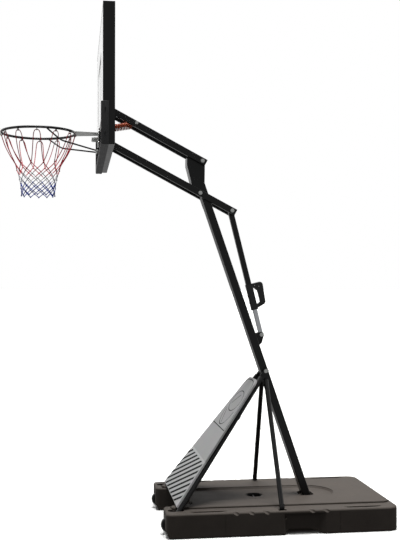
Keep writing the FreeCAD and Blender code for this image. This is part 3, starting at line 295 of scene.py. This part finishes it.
def galvanised_tube():
    """Drawn galvanised tube: pale grey metal with faint lengthwise streaks about 3 mm apart."""
    material, tree, shader, coords = new_material("Galvanised steel tube, drawn", Metallic=1.0)
    stretch = add_node(tree, "ShaderNodeMapping", {"Scale": (1.0, 1.0, 0.04)}, {"Vector": coords})
    streak = add_node(tree, "ShaderNodeTexNoise", {"Scale": per_metre(3), "Detail": 3.0},
                      {"Vector": stretch.outputs["Vector"]})
    tint = add_node(tree, "ShaderNodeMix", {"data_type": "RGBA", 6: (*linear("#d4d6d8"), 1),
                                            7: (*linear("#aeb1b4"), 1)}, {0: streak.outputs["Fac"]})
    vary_roughness(tree, shader, streak.outputs["Fac"], 0.3, 0.5)
    tree.links.new(tint.outputs[2], shader.inputs["Base Color"])
    return material


def blow_moulded_hdpe(colour):
    """Blow-moulded polyethylene: a matt brown-black skin with a sand-blasted grain and soft waves."""
    material, tree, shader, coords = new_material("HDPE, blow-moulded", IOR=1.54, Specular_IOR_Level=0.1)
    patch = add_node(tree, "ShaderNodeTexNoise", {"Scale": per_metre(120), "Detail": 5.0, "Roughness": 0.6},
                     {"Vector": coords})
    dark = tuple(c * 0.72 for c in colour)
    light = tuple(c * 1.25 for c in colour)
    tint = add_node(tree, "ShaderNodeMix", {"data_type": "RGBA", 6: (*dark, 1), 7: (*light, 1)},
                    {0: patch.outputs["Fac"]})
    grain = noise(tree, coords, 1.6, 2.0)
    speck = add_node(tree, "ShaderNodeMix", {"data_type": "RGBA", "blend_type": "MULTIPLY", 0: 0.35},
                     {6: tint.outputs[2], 7: grain.outputs["Color"]})
    vary_roughness(tree, shader, patch.outputs["Fac"], 0.55, 0.7)
    fine = add_node(tree, "ShaderNodeBump", {"Strength": 0.35, "Distance": 0.0003},
                    {"Height": grain.outputs["Fac"]})
    wave = noise(tree, coords, 90, 1.0)
    bump = add_node(tree, "ShaderNodeBump", {"Strength": 0.5, "Distance": 0.002},
                    {"Height": wave.outputs["Fac"], "Normal": fine.outputs["Normal"]})
    tree.links.new(speck.outputs[2], shader.inputs["Base Color"])
    tree.links.new(bump.outputs["Normal"], shader.inputs["Normal"])
    return material


def moulded_plastic(name, hex_colour, grain_mm=0.9, rough=(0.38, 0.52)):
    """Injection-moulded plastic with a fine etched grain: satin, even, slightly duller where handled."""
    material, tree, shader, coords = new_material(name, IOR=1.5, Specular_IOR_Level=0.4)
    wear = noise(tree, coords, 35, 4.0)
    base = linear(hex_colour)
    tint = add_node(tree, "ShaderNodeMix", {"data_type": "RGBA", 6: (*(c * 0.85 for c in base), 1),
                                            7: (*(min(1, c * 1.15) for c in base), 1)},
                    {0: wear.outputs["Fac"]})
    vary_roughness(tree, shader, wear.outputs["Fac"], rough[0], rough[1])
    grain = noise(tree, coords, grain_mm, 1.0)
    raise_bump(tree, shader, grain.outputs["Fac"], 0.25, 0.0002)
    tree.links.new(tint.outputs[2], shader.inputs["Base Color"])
    return material


def two_tone_panel(bare, field):
    """Moulded polypropylene, plain satin grey at the foot, with a darker grey field over the upper part."""
    material, tree, shader, coords = new_material("Polypropylene, moulded panel", IOR=1.49,
                                                  Specular_IOR_Level=0.35, Roughness=0.5)
    down = add_node(tree, "ShaderNodeVectorMath", {"operation": "DOT_PRODUCT", 1: tuple(down_strut)},
                    {0: coords})
    field_length = 0.692
    limit = strut_bolt.dot(down_strut) + field_length
    above = add_node(tree, "ShaderNodeMath", {"operation": "LESS_THAN", 1: limit},
                     {0: down.outputs["Value"]})
    cloud = noise(tree, coords, 80, 3.0)
    tint = add_node(tree, "ShaderNodeMix", {"data_type": "RGBA", 6: (*bare, 1), 7: (*field, 1)},
                    {0: above.outputs["Value"]})
    shade = add_node(tree, "ShaderNodeMix", {"data_type": "RGBA", "blend_type": "MULTIPLY", 0: 0.12},
                     {6: tint.outputs[2], 7: cloud.outputs["Color"]})
    grain = noise(tree, coords, 1.2, 1.0)
    raise_bump(tree, shader, grain.outputs["Fac"], 0.2, 0.0002)
    tree.links.new(shade.outputs[2], shader.inputs["Base Color"])
    return material


def screen_ink(name, hex_colour):
    """Screen-printed ink: a thin even film, satin, with a slight mottle about 5 mm across."""
    material, tree, shader, coords = new_material(name, Base_Color=(*linear(hex_colour), 1), IOR=1.45,
                                                  Specular_IOR_Level=0.1)
    mottle = noise(tree, coords, 5, 2.0)
    vary_roughness(tree, shader, mottle.outputs["Fac"], 0.6, 0.8)
    return material


def clear_acrylic():
    """Cast acrylic sheet: clear, polished, with a trace of green-grey and very faint surface waves."""
    material, tree, shader, coords = new_material(
        "Acrylic sheet, cast clear", Base_Color=(0.93, 0.96, 0.96, 1), IOR=1.49, Roughness=0.02,
        Transmission_Weight=1.0)
    wave = noise(tree, coords, 150, 1.0)
    raise_bump(tree, shader, wave.outputs["Fac"], 0.04, 0.0005)
    return material


def polyurethane_pad():
    """Self-skinned polyurethane foam: black, dull and a little leathery, with a 2 mm pebble grain."""
    material, tree, shader, coords = new_material("Polyurethane foam, self-skinned", IOR=1.5,
                                                  Specular_IOR_Level=0.35)
    wear = noise(tree, coords, 50, 4.0)
    tint = add_node(tree, "ShaderNodeMix", {"data_type": "RGBA", 6: (*linear("#1c1c1d"), 1),
                                            7: (*linear("#2a2a2b"), 1)}, {0: wear.outputs["Fac"]})
    vary_roughness(tree, shader, wear.outputs["Fac"], 0.48, 0.66)
    pebble = add_node(tree, "ShaderNodeTexVoronoi", {"Scale": per_metre(2.0)}, {"Vector": coords})
    raise_bump(tree, shader, pebble.outputs["Distance"], 0.3, 0.0003)
    tree.links.new(tint.outputs[2], shader.inputs["Base Color"])
    return material


def coated_spring_steel(colour):
    """Spring wire with a copper-orange coating: satin, darker in patches, worn paler in places."""
    material, tree, shader, coords = new_material("Spring steel, copper-orange coated", Metallic=0.3,
                                                  Specular_IOR_Level=0.5)
    patch = noise(tree, coords, 12, 5.0)
    tint = add_node(tree, "ShaderNodeMix", {"data_type": "RGBA", 6: (*(c * 0.6 for c in colour), 1),
                                            7: (*(min(1, c * 1.35) for c in colour), 1)},
                    {0: patch.outputs["Fac"]})
    vary_roughness(tree, shader, patch.outputs["Fac"], 0.28, 0.5)
    tree.links.new(tint.outputs[2], shader.inputs["Base Color"])
    return material


def braided_cord(settings, high, low):
    """Braided polyester cord in three colours by height, with plaits drawn 4 mm long so that they show;
    their bands darken the colour as painted shade in the grooves between plaits.
    """
    material, tree, shader, coords = new_material("Polyester cord, braided", IOR=1.5, Roughness=0.75,
                                                  Specular_IOR_Level=0.3, Sheen_Weight=0.25)
    place = add_node(tree, "ShaderNodeSeparateXYZ", {}, {"Vector": coords})
    in_red = add_node(tree, "ShaderNodeMath", {"operation": "GREATER_THAN", 1: high},
                      {0: place.outputs["Z"]})
    in_blue = add_node(tree, "ShaderNodeMath", {"operation": "LESS_THAN", 1: low}, {0: place.outputs["Z"]})
    lower = add_node(tree, "ShaderNodeMix", {"data_type": "RGBA", 6: (*settings.centre, 1),
                                             7: (*settings.bottom, 1)}, {0: in_blue.outputs["Value"]})
    tint = add_node(tree, "ShaderNodeMix", {"data_type": "RGBA", 7: (*settings.top, 1)},
                    {0: in_red.outputs["Value"], 6: lower.outputs[2]})
    plait = add_node(tree, "ShaderNodeTexWave", {"bands_direction": "DIAGONAL", "Scale": per_metre(4) / 6.3,
                                                 "Distortion": 1.5}, {"Vector": coords})
    # Painted shade: the plait bands darken the cord's own colour in the grooves between plaits, where the
    # bump sinks.
    shade = add_node(tree, "ShaderNodeMix", {"data_type": "RGBA", "blend_type": "MULTIPLY", 0: 0.35},
                     {6: tint.outputs[2], 7: plait.outputs["Color"]})
    raise_bump(tree, shader, plait.outputs["Fac"], 0.5, 0.0005)
    tree.links.new(shade.outputs[2], shader.inputs["Base Color"])
    return material


# ---------------------------------------------------------------- operators
class HOOP_OT_steelwork(bpy.types.Operator):
    """Powder coat on the pole, arms, struts, brackets, board frame and ring, and zinc on the fixings"""
    bl_idname = "hoop.steelwork"
    bl_label = "Paint the steelwork"

    black = ("pole_lower", "pole_upper", "head_plate_left", "head_plate_right", "foot_bracket",
             "front_strut_left", "front_strut_right", "side_strut_left", "side_strut_right",
             "lower_arm_left", "lower_arm_right", "upper_arm_left", "upper_arm_right",
             "board_frame", "board_cross_bar", "board_bracket_left", "board_bracket_right",
             "rim_ring", "net_hooks", "rim_braces", "adjuster_outer", "head_web", "rim_mount",
             "pad_screws", "panel_clips")
    zinc = ("wheel_axles", "head_spacers", "head_bolts", "pivot_nuts", "foot_bolts", "strut_bolt",
            "strut_foot_bolts", "adjuster_top_bolt", "adjuster_spacers", "spring_bolt",
            "board_pivot_bolts", "board_pivot_nuts", "rim_mount_bolts", "rim_spring_bolts",
            "rim_hinge_pin", "handle_pins", "spring_anchor", "rim_plate")

    def execute(self, context):
        coat = powder_coated_steel(context.scene.hoop_paint.steel)
        plate = zinc_plated_steel()
        tube = galvanised_tube()
        for node in self.black:
            paint(node, coat)
        for node in self.zinc:
            paint(node, plate)
        for node in ("adjuster_inner", "pole_splice"):
            paint(node, tube)
        return {"FINISHED"}


class HOOP_OT_mouldings(bpy.types.Operator):
    """Moulded finishes on the tank, fill cap, wheels, arm ends, handle and trigger"""
    bl_idname = "hoop.mouldings"
    bl_label = "Paint the mouldings"

    def execute(self, context):
        paint("base_tank", blow_moulded_hdpe(context.scene.hoop_paint.tank))
        cap = moulded_plastic("Polyethylene, moulded cap", "#191818")
        wheel = moulded_plastic("Polypropylene, moulded wheel", "#161616", 1.4, (0.42, 0.6))
        grip = moulded_plastic("Glass-filled nylon, moulded", "#131314", 0.8)
        paint("fill_cap", cap)
        for node in ("wheel_left", "wheel_right"):
            paint(node, wheel)
        for node in ("adjuster_sleeve", "trigger", "lock_pawl", "upper_arm_caps", "lower_arm_caps"):
            paint(node, grip)
        return {"FINISHED"}


class HOOP_OT_clear_board(bpy.types.Operator):
    """The clear acrylic sheet and the white rectangle printed on it"""
    bl_idname = "hoop.clear_board"
    bl_label = "Finish the clear board"

    half_width = 0.305
    height = 0.457
    film = 0.0004
    stand_off = 0.0003

    def execute(self, context):
        paint("clear_panel", clear_acrylic())
        line = context.scene.hoop_print.target
        centre = Matrix.Translation((0, board_face - self.stand_off, ring_centre.z + self.height / 2))
        turned = Matrix.Rotation(math.radians(90), 4, "X")
        size = Matrix.Diagonal((2 * self.half_width, self.height, 1, 1))
        bm = bmesh.new()
        bmesh.ops.create_grid(bm, x_segments=1, y_segments=1, size=0.5, matrix=centre @ turned @ size)
        inner = bmesh.ops.inset_region(bm, faces=bm.faces[:], thickness=line, use_boundary=True,
                                       use_even_offset=True)
        middle_face = [f for f in bm.faces if f not in inner["faces"]]
        bmesh.ops.delete(bm, geom=middle_face, context="FACES")
        bmesh.ops.solidify(bm, geom=bm.faces[:], thickness=self.film)
        bmesh.ops.recalc_face_normals(bm, faces=bm.faces[:])
        ink = screen_ink("Screen ink, white", "#f1f1ee")
        new_piece("target_rectangle", bm, ink, "board")
        return {"FINISHED"}


class HOOP_OT_board_pad(bpy.types.Operator):
    """The foam pad that wraps the board's bottom edge and lower corners"""
    bl_idname = "hoop.board_pad"
    bl_label = "Make the board pad"

    # Section through the pad, in millimetres: outwards from the board's edge, and back from its face.
    section = ((8, 32), (7, 34.4), (4, 35), (1.4, 34.2), (0.4, 32), (0.4, -0.3), (-33.4, -0.3),
               (-34, -3), (-33.2, -7.4), (-30.2, -10.2), (-25, -10.9), (-21.5, -9.2), (-18, -9.2),
               (-14.5, -10.9), (-5, -11), (3, -10.4), (6.6, -8), (8, -4), (8, 8), (7.4, 12), (7.4, 15),
               (8, 19))

    def station(self, corner, outward):
        """The section at a corner, leaning along the mitre."""
        foot = Vector((corner.x, board_face, corner.z))
        return [foot + (outward * p + Vector((0, q, 0))) / 1000 for p, q in self.section]

    def execute(self, context):
        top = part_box("board_pad")[1].z
        half = board_high.x
        corners = [(Vector((-half, 0, top)), Vector((-1, 0, 0))),
                   (Vector((-half, 0, board_low.z)), Vector((-1, 0, -1))),
                   (Vector((half, 0, board_low.z)), Vector((1, 0, -1))),
                   (Vector((half, 0, top)), Vector((1, 0, 0)))]
        bm = bmesh.new()
        rings = []
        for corner, outward in corners:
            verts = [bm.verts.new(p) for p in self.station(corner, outward)]
            rings.append([bm.edges.new((a, b)) for a, b in zip(verts, verts[1:] + verts[:1])])
        for first, second in zip(rings, rings[1:]):
            bmesh.ops.bridge_loops(bm, edges=first + second)
        ends = [bmesh.ops.contextual_create(bm, geom=ring)["faces"] for ring in (rings[0], rings[-1])]
        bmesh.ops.recalc_face_normals(bm, faces=bm.faces[:])
        rims = list({e for faces in ends for f in faces for e in f.edges})
        bmesh.ops.bevel(bm, geom=rims, offset=0.002, offset_type="OFFSET", segments=3, profile=0.5,
                        affect="EDGES", material=-1, clamp_overlap=True)
        pad = new_piece("board_edge_pad", bm, polyurethane_pad(), "board", ("board_pad",), 40)
        return {"FINISHED"}


class HOOP_OT_net(bpy.types.Operator):
    """The knotted cord net under the ring"""
    bl_idname = "hoop.net"
    bl_label = "Make the net"

    # Each loop hangs on a hook; its legs spread and run down to the first row of knots.
    # Angle from the hook in degrees, radius and drop below the hook's seat in metres.
    leg = ((3.0, 0.2325, 0.003), (5.2, 0.228, 0.022), (6.0, 0.219, 0.05), (7.2, 0.206, 0.085),
           (8.9, 0.186, 0.125), (11.4, 0.165, 0.160))
    # Rows of knots: radius, and height above the ground.
    rows = ((0.1450, 2.2965), (0.1345, 2.262), (0.1250, 2.231), (0.1175, 2.202),
            (0.1120, 2.174), (0.1085, 2.147), (0.1065, 2.122), (0.1055, 2.100))
    loops = 12
    seat_radius = 0.233
    hook_rise = 0.005
    # The red cord ends and the blue cord begins at these heights.
    red_above = 2.238
    blue_below = 2.180

    @staticmethod
    def at(angle, radius, height):
        turn = math.radians(angle)
        return Vector((radius * math.sin(turn), ring_centre.y - radius * math.cos(turn), height))

    def execute(self, context):
        settings = context.scene.hoop_net
        step = 360 / self.loops
        seat = hook_low.z + self.hook_rise + settings.cord / 2
        paths, knots = [], []
        for loop in range(self.loops):
            hook = loop * step
            halves = []
            for side in (-1, 1):
                half = [self.at(hook + side * a, r, seat - d) for a, r, d in self.leg]
                half += [self.at(hook + side * row * step / 2, r, z)
                         for row, (r, z) in enumerate(self.rows, 1)]
                halves.append(half)
            paths.append(halves[0][::-1] + [self.at(hook, self.seat_radius, seat)] + halves[1])
            for row, (r, z) in enumerate(self.rows, 1):
                knots.append(self.at(hook + row * step / 2, r, z))
        bm = wire_bmesh(paths, settings.cord / 2, resolution=4, sides=1)
        size = Matrix.Diagonal((settings.knot, settings.knot, settings.knot * 1.15, 1))
        for place in knots:
            bmesh.ops.create_icosphere(bm, subdivisions=1, radius=0.5,
                                       matrix=Matrix.Translation(place) @ size)
        cord = braided_cord(settings, self.red_above, self.blue_below)
        new_piece("knotted_net", bm, cord, "rim", ("net",), 0)
        return {"FINISHED"}


class HOOP_OT_counter_spring(bpy.types.Operator):
    """The coil spring that counterbalances the board, with an eye round the pin at each end"""
    bl_idname = "hoop.counter_spring"
    bl_label = "Make the counterbalance spring"

    outer_radius = 0.025
    eye_radius = 0.0085
    reach = 0.028

    def execute(self, context):
        settings = context.scene.hoop_springs
        span = arm_bolt - spring_front
        along = span.normalized()
        across = Vector((1, 0, 0))
        up = along.cross(across)
        radius = self.outer_radius - settings.wire / 2
        length = span.length - 2 * self.reach

        def at(x, y, z):
            return spring_front + across * x + up * y + along * z

        per_turn = 16
        count = int(settings.turns * per_turn)
        turn_step = 2 * math.pi / per_turn
        coil = [at(radius * math.cos(turn_step * i), radius * math.sin(turn_step * i),
                   self.reach + length * i / count) for i in range(count + 1)]
        swing = turn_step * count

        def eye(centre_z, way, start):
            """The wire from the coil's last turn to the axis, along it, and once round the pin."""
            run = [at(radius * share * math.cos(start), radius * share * math.sin(start),
                      centre_z - way * setback) for share, setback in ((0.80, 0.0255), (0.35, 0.0225))]
            run.append(at(0, self.eye_radius * 0.3, centre_z - way * 0.0165))
            for i in range(13):
                turn = math.radians(200 - 30 * i)
                run.append(at(0, self.eye_radius * math.sin(turn) * 1.04,
                              centre_z + way * self.eye_radius * math.cos(turn) * 1.04))
            return run

        path = eye(0, -1, -0.5)[::-1] + coil + eye(span.length, 1, swing + 0.5)
        bm = wire_bmesh([path], settings.wire / 2, resolution=3, sides=3)
        steel = coated_spring_steel(context.scene.hoop_paint.spring)
        spring = new_piece("counterbalance_coil", bm, steel, None, ("counter_spring",), 0)
        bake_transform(spring)
        return {"FINISHED"}


class HOOP_OT_rim_springs(bpy.types.Operator):
    """The two short springs that let the ring give way"""
    bl_idname = "hoop.rim_springs"
    bl_label = "Make the breakaway springs"

    wire = 0.0017

    def execute(self, context):
        low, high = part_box("rim_springs")
        radius = (high.z - low.z) / 2 - self.wire
        turns = context.scene.hoop_springs.rim_turns
        height = (low.z + high.z) / 2
        bm = bmesh.new()
        for side in (-1, 1):
            x = side * (high.x - radius - self.wire)
            turn = Matrix.Translation((x + radius, low.y + self.wire, height))
            made = bmesh.ops.create_circle(bm, segments=8, radius=self.wire, matrix=turn)
            loop = list({e for v in made["verts"] for e in v.link_edges})
            steps = int(16 * turns)
            bmesh.ops.spin(bm, geom=made["verts"] + loop, cent=(x, low.y, height), axis=(0, 1, 0),
                           dvec=(0, (high.y - low.y - 2 * self.wire) / steps, 0), steps=steps,
                           angle=2 * math.pi * turns)
        open_ends = [e for e in bm.edges if e.is_boundary]
        bmesh.ops.holes_fill(bm, edges=open_ends, sides=8)
        bmesh.ops.recalc_face_normals(bm, faces=bm.faces[:])
        springs = new_piece("breakaway_coils", bm, NODES["rim_spring_bolts"].data.materials[0], "board",
                            ("rim_springs",), 0)
        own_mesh(springs)
        return {"FINISHED"}


class HOOP_OT_front_panel(bpy.types.Operator):
    """The front panel's two greys, its slanting stripes and its court lines"""
    bl_idname = "hoop.front_panel"
    bl_label = "Print the front panel"

    # The panel's side edges: half its width at the strut bolt, and how fast it grows down the slope.
    half_at_bolt = 0.108
    taper = 0.257
    stripes_from = 0.707
    stripes_to = 1.004
    lean = 0.489
    margin = 0.014

    def half(self, distance):
        return self.half_at_bolt + self.taper * distance

    def strip(self, bm, start, end, width):
        """A straight printed bar between two points on the panel."""
        run = end - start
        place = Matrix.Translation(((start.x + end.x) / 2, (start.y + end.y) / 2, 0.0001))
        turn = Matrix.Rotation(math.atan2(run.y, run.x), 4, "Z")
        size = Matrix.Diagonal((run.length, width, 0.0008, 1))
        bmesh.ops.create_cube(bm, size=1, matrix=place @ turn @ size)

    def stripes(self, settings):
        whole = bmesh.new()
        edge = Vector((1, -self.taper, 0)).normalized()
        for index in range(-4, 9):
            bm = bmesh.new()
            top_x = 0.003 + settings.spacing * index
            start = Vector((top_x + 0.2 / self.lean, self.stripes_from - 0.2, 0))
            end = Vector((top_x - 0.5 / self.lean, self.stripes_from + 0.5, 0))
            self.strip(bm, start, end, settings.stripe)
            clipped(bm, (0, self.stripes_from, 0), (0, -1, 0))
            clipped(bm, (0, self.stripes_to, 0), (0, 1, 0))
            for side in (-1, 1):
                inset = self.margin if side > 0 else self.margin * 0.5
                clipped(bm, (side * (self.half_at_bolt - inset), 0, 0), (side * edge.x, edge.y, 0))
            if bm.verts:
                mesh = bpy.data.meshes.new("stripe")
                bm.to_mesh(mesh)
                whole.from_mesh(mesh)
                bpy.data.meshes.remove(mesh)
            bm.free()
        for index in range(6):
            distance = 0.975 - 0.046 * index
            self.strip(whole, Vector((-self.half(distance) + 0.004, distance, 0)),
                       Vector((-self.half(distance - 0.028) + 0.004, distance - 0.028, 0)), 0.005)
        return whole

    def court(self, line):
        """Border, end line, circle and arc of a plain court drawing."""
        end_line = 0.471
        top = 0.100
        inset = 0.012
        side = [(self.half(s) - inset, s) for s in (end_line, 0.38, 0.29, 0.2, 0.17)]
        arch = [(0.118, 0.128), (0.09, 0.106), (0.05, top), (0, top - 0.001)]
        border = side + arch + [(-x, s) for x, s in (arch[:-1])[::-1]] + [(-x, s) for x, s in side[::-1]]
        circle = [(0.122 * math.cos(a), 0.27 + 0.078 * math.sin(a))
                  for a in (2 * math.pi * i / 24 for i in range(24))]
        arc = [(0.128 * math.cos(a) * 0.98, 0.338 + 0.117 * math.sin(a))
               for a in (math.pi * i / 14 for i in range(15))]
        reach = self.half(end_line) - inset
        lines = [border, [(-reach, end_line), (reach, end_line)], arc,
                 [(-0.09, 0.35), (-0.05, 0.40), (0.0, 0.441)],
                 [(-0.078, 0.301), (-0.05, 0.268), (0.02, 0.222)]]
        bm = wire_bmesh([[(x, s, 0) for x, s in path] for path in lines], line / 2, resolution=4, sides=1)
        ring = wire_bmesh([[(x, s, 0) for x, s in circle]], line / 2, closed=True, resolution=3, sides=1)
        mesh = bpy.data.meshes.new("ring")
        ring.to_mesh(mesh)
        ring.free()
        bm.from_mesh(mesh)
        bpy.data.meshes.remove(mesh)
        bmesh.ops.scale(bm, vec=(1, 1, 0.16), verts=bm.verts[:])
        return bm

    def execute(self, context):
        settings = context.scene.hoop_print
        colours = context.scene.hoop_paint
        paint("front_panel", two_tone_panel(colours.panel, colours.panel_field))
        ink = screen_ink("Screen ink, black", "#0d0d0e")
        stripes = self.stripes(settings)
        stripes.transform(panel_plane)
        new_piece("panel_stripes", stripes, ink, "stand")
        court = self.court(settings.line)
        court.transform(panel_plane)
        grey = screen_ink("Screen ink, grey", "#1d1d1e")
        new_piece("panel_court_lines", court, grey, "stand", (), 0)
        return {"FINISHED"}


class HOOP_OT_studio(bpy.types.Operator):
    """A plain pale floor, soft lights and the camera"""
    bl_idname = "hoop.studio"
    bl_label = "Set up the studio"

    lens = 60.0
    eye = (5.862, -0.762, 1.524)
    heading = 0.1376
    rise = 0.0173
    sky_power = 5.4
    sky_width = 30.0
    floor_radius = 300.0
    # Name, place, what it faces, width, height and power of each soft lamp.
    lights = (("front", (5.0, -5.0, 3.6), (0.0, -0.2, 1.4), 2.0, 3.2, 30),
              ("rear", (3.5, 6.0, 4.0), (0.0, 0.3, 1.2), 1.6, 4.0, 30),
              ("low", (0.2, -3.6, 0.5), (0.0, -0.8, 2.4), 1.2, 0.5, 10))

    def execute(self, context):
        scene = context.scene
        bm = bmesh.new()
        bmesh.ops.create_circle(bm, cap_ends=True, segments=96, radius=self.floor_radius)
        floor_paint = new_material("Studio floor, matt", Base_Color=(*linear("#f4f4f2"), 1),
                                   Roughness=0.9, Specular_IOR_Level=0.1)[0]
        floor = new_piece("studio_floor", bm, floor_paint)
        floor.data.transform(Matrix.Translation((0, 0, -0.0005)))
        floor.visible_glossy = False
        floor.visible_diffuse = False

        world = bpy.data.worlds.new("studio")
        world.use_nodes = True
        tree = world.node_tree
        tree.nodes.clear()
        ray = add_node(tree, "ShaderNodeLightPath")
        # Glossy surfaces mirror a white wall beyond the hoop, and a dimmer room on this side and below.
        way = add_node(tree, "ShaderNodeSeparateXYZ", {},
                       {"Vector": add_node(tree, "ShaderNodeTexCoord").outputs["Generated"]})
        room = add_node(tree, "ShaderNodeMapRange", {"From Min": -0.55, "From Max": 0.3, "To Min": 1.0,
                                                     "To Max": 0.42}, {"Value": way.outputs["X"]})
        fill = add_node(tree, "ShaderNodeBackground", {"Color": (0.97, 0.98, 1.0, 1), "Strength": 0.07})
        height = add_node(tree, "ShaderNodeMapRange", {"From Min": -0.02, "From Max": 0.04, "To Min": 0.42,
                                                       "To Max": 1.0}, {"Value": way.outputs["Z"]})
        wall = add_node(tree, "ShaderNodeMath", {"operation": "MINIMUM"},
                        {0: room.outputs["Result"], 1: height.outputs["Result"]})
        mirrored = add_node(tree, "ShaderNodeBackground", {"Color": (1, 1, 1, 1)},
                            {"Strength": wall.outputs["Value"]})
        backdrop = add_node(tree, "ShaderNodeBackground", {"Color": (1, 1, 1, 1), "Strength": 1.0})
        soft = add_node(tree, "ShaderNodeMixShader", {}, {0: ray.outputs["Is Glossy Ray"],
                                                          1: fill.outputs[0], 2: mirrored.outputs[0]})
        seen = add_node(tree, "ShaderNodeMath", {"operation": "MAXIMUM"},
                        {0: ray.outputs["Is Camera Ray"], 1: ray.outputs["Is Transmission Ray"]})
        mix = add_node(tree, "ShaderNodeMixShader", {}, {0: seen.outputs["Value"],
                                                         1: soft.outputs[0], 2: backdrop.outputs[0]})
        add_node(tree, "ShaderNodeOutputWorld", {}, {"Surface": mix.outputs[0]})
        scene.world = world

        sky = bpy.data.lights.new("sky", "SUN")
        sky.energy = self.sky_power
        sky.angle = math.radians(self.sky_width)
        scene.collection.objects.link(bpy.data.objects.new("sky", sky))
        for name, place, aim, width, height, power in self.lights:
            data = bpy.data.lights.new(name, "AREA")
            data.shape = "RECTANGLE"
            data.size, data.size_y = width, height
            data.energy = power
            lamp = bpy.data.objects.new(name, data)
            lamp.location = place
            lamp.rotation_euler = (Vector(aim) - Vector(place)).to_track_quat("-Z", "Y").to_euler()
            scene.collection.objects.link(lamp)

        lens = bpy.data.cameras.new("view")
        lens.lens = self.lens
        lens.sensor_width = 36.0
        camera = bpy.data.objects.new("view", lens)
        camera.location = self.eye
        look = Vector((-math.cos(self.heading) * math.cos(self.rise),
                       math.sin(self.heading) * math.cos(self.rise), math.sin(self.rise)))
        camera.rotation_euler = look.to_track_quat("-Z", "Y").to_euler()
        scene.collection.objects.link(camera)
        scene.camera = camera
        scene.view_settings.view_transform = "Standard"
        return {"FINISHED"}


class HOOP_PT_sidebar(bpy.types.Panel):
    """Sizes, colours and steps of the hoop"""
    bl_idname = "HOOP_PT_sidebar"
    bl_label = "Basketball Hoop"
    bl_space_type = "VIEW_3D"
    bl_region_type = "UI"
    bl_category = "Hoop"

    def draw(self, context):
        scene = context.scene
        for title, settings in (("Paint", scene.hoop_paint), ("Net", scene.hoop_net),
                                ("Springs", scene.hoop_springs), ("Print", scene.hoop_print)):
            box = self.layout.box()
            box.label(text=title)
            for name in settings.__annotations__:
                box.prop(settings, name)
        column = self.layout.column(align=True)
        for operator in OPERATORS:
            column.operator(operator.bl_idname)


OPERATORS = (HOOP_OT_studio, HOOP_OT_steelwork, HOOP_OT_mouldings, HOOP_OT_clear_board, HOOP_OT_board_pad,
             HOOP_OT_net, HOOP_OT_counter_spring, HOOP_OT_rim_springs, HOOP_OT_front_panel)
SETTINGS = (("hoop_paint", HoopPaint), ("hoop_net", HoopNet), ("hoop_springs", HoopSprings),
            ("hoop_print", HoopPrint))


def register():
    for name, group in SETTINGS:
        bpy.utils.register_class(group)
        setattr(bpy.types.Scene, name, bpy.props.PointerProperty(type=group))
    for operator in OPERATORS:
        bpy.utils.register_class(operator)
    bpy.utils.register_class(HOOP_PT_sidebar)


def unregister():
    bpy.utils.unregister_class(HOOP_PT_sidebar)
    for operator in reversed(OPERATORS):
        bpy.utils.unregister_class(operator)
    for name, group in reversed(SETTINGS):
        delattr(bpy.types.Scene, name)
        bpy.utils.unregister_class(group)


def main():
    register()
    bpy.ops.hoop.studio()
    bpy.ops.hoop.steelwork()
    bpy.ops.hoop.mouldings()
    bpy.ops.hoop.clear_board()
    bpy.ops.hoop.board_pad()
    bpy.ops.hoop.net()
    bpy.ops.hoop.counter_spring()
    bpy.ops.hoop.rim_springs()
    bpy.ops.hoop.front_panel()


if __name__ == "__main__":
    main()
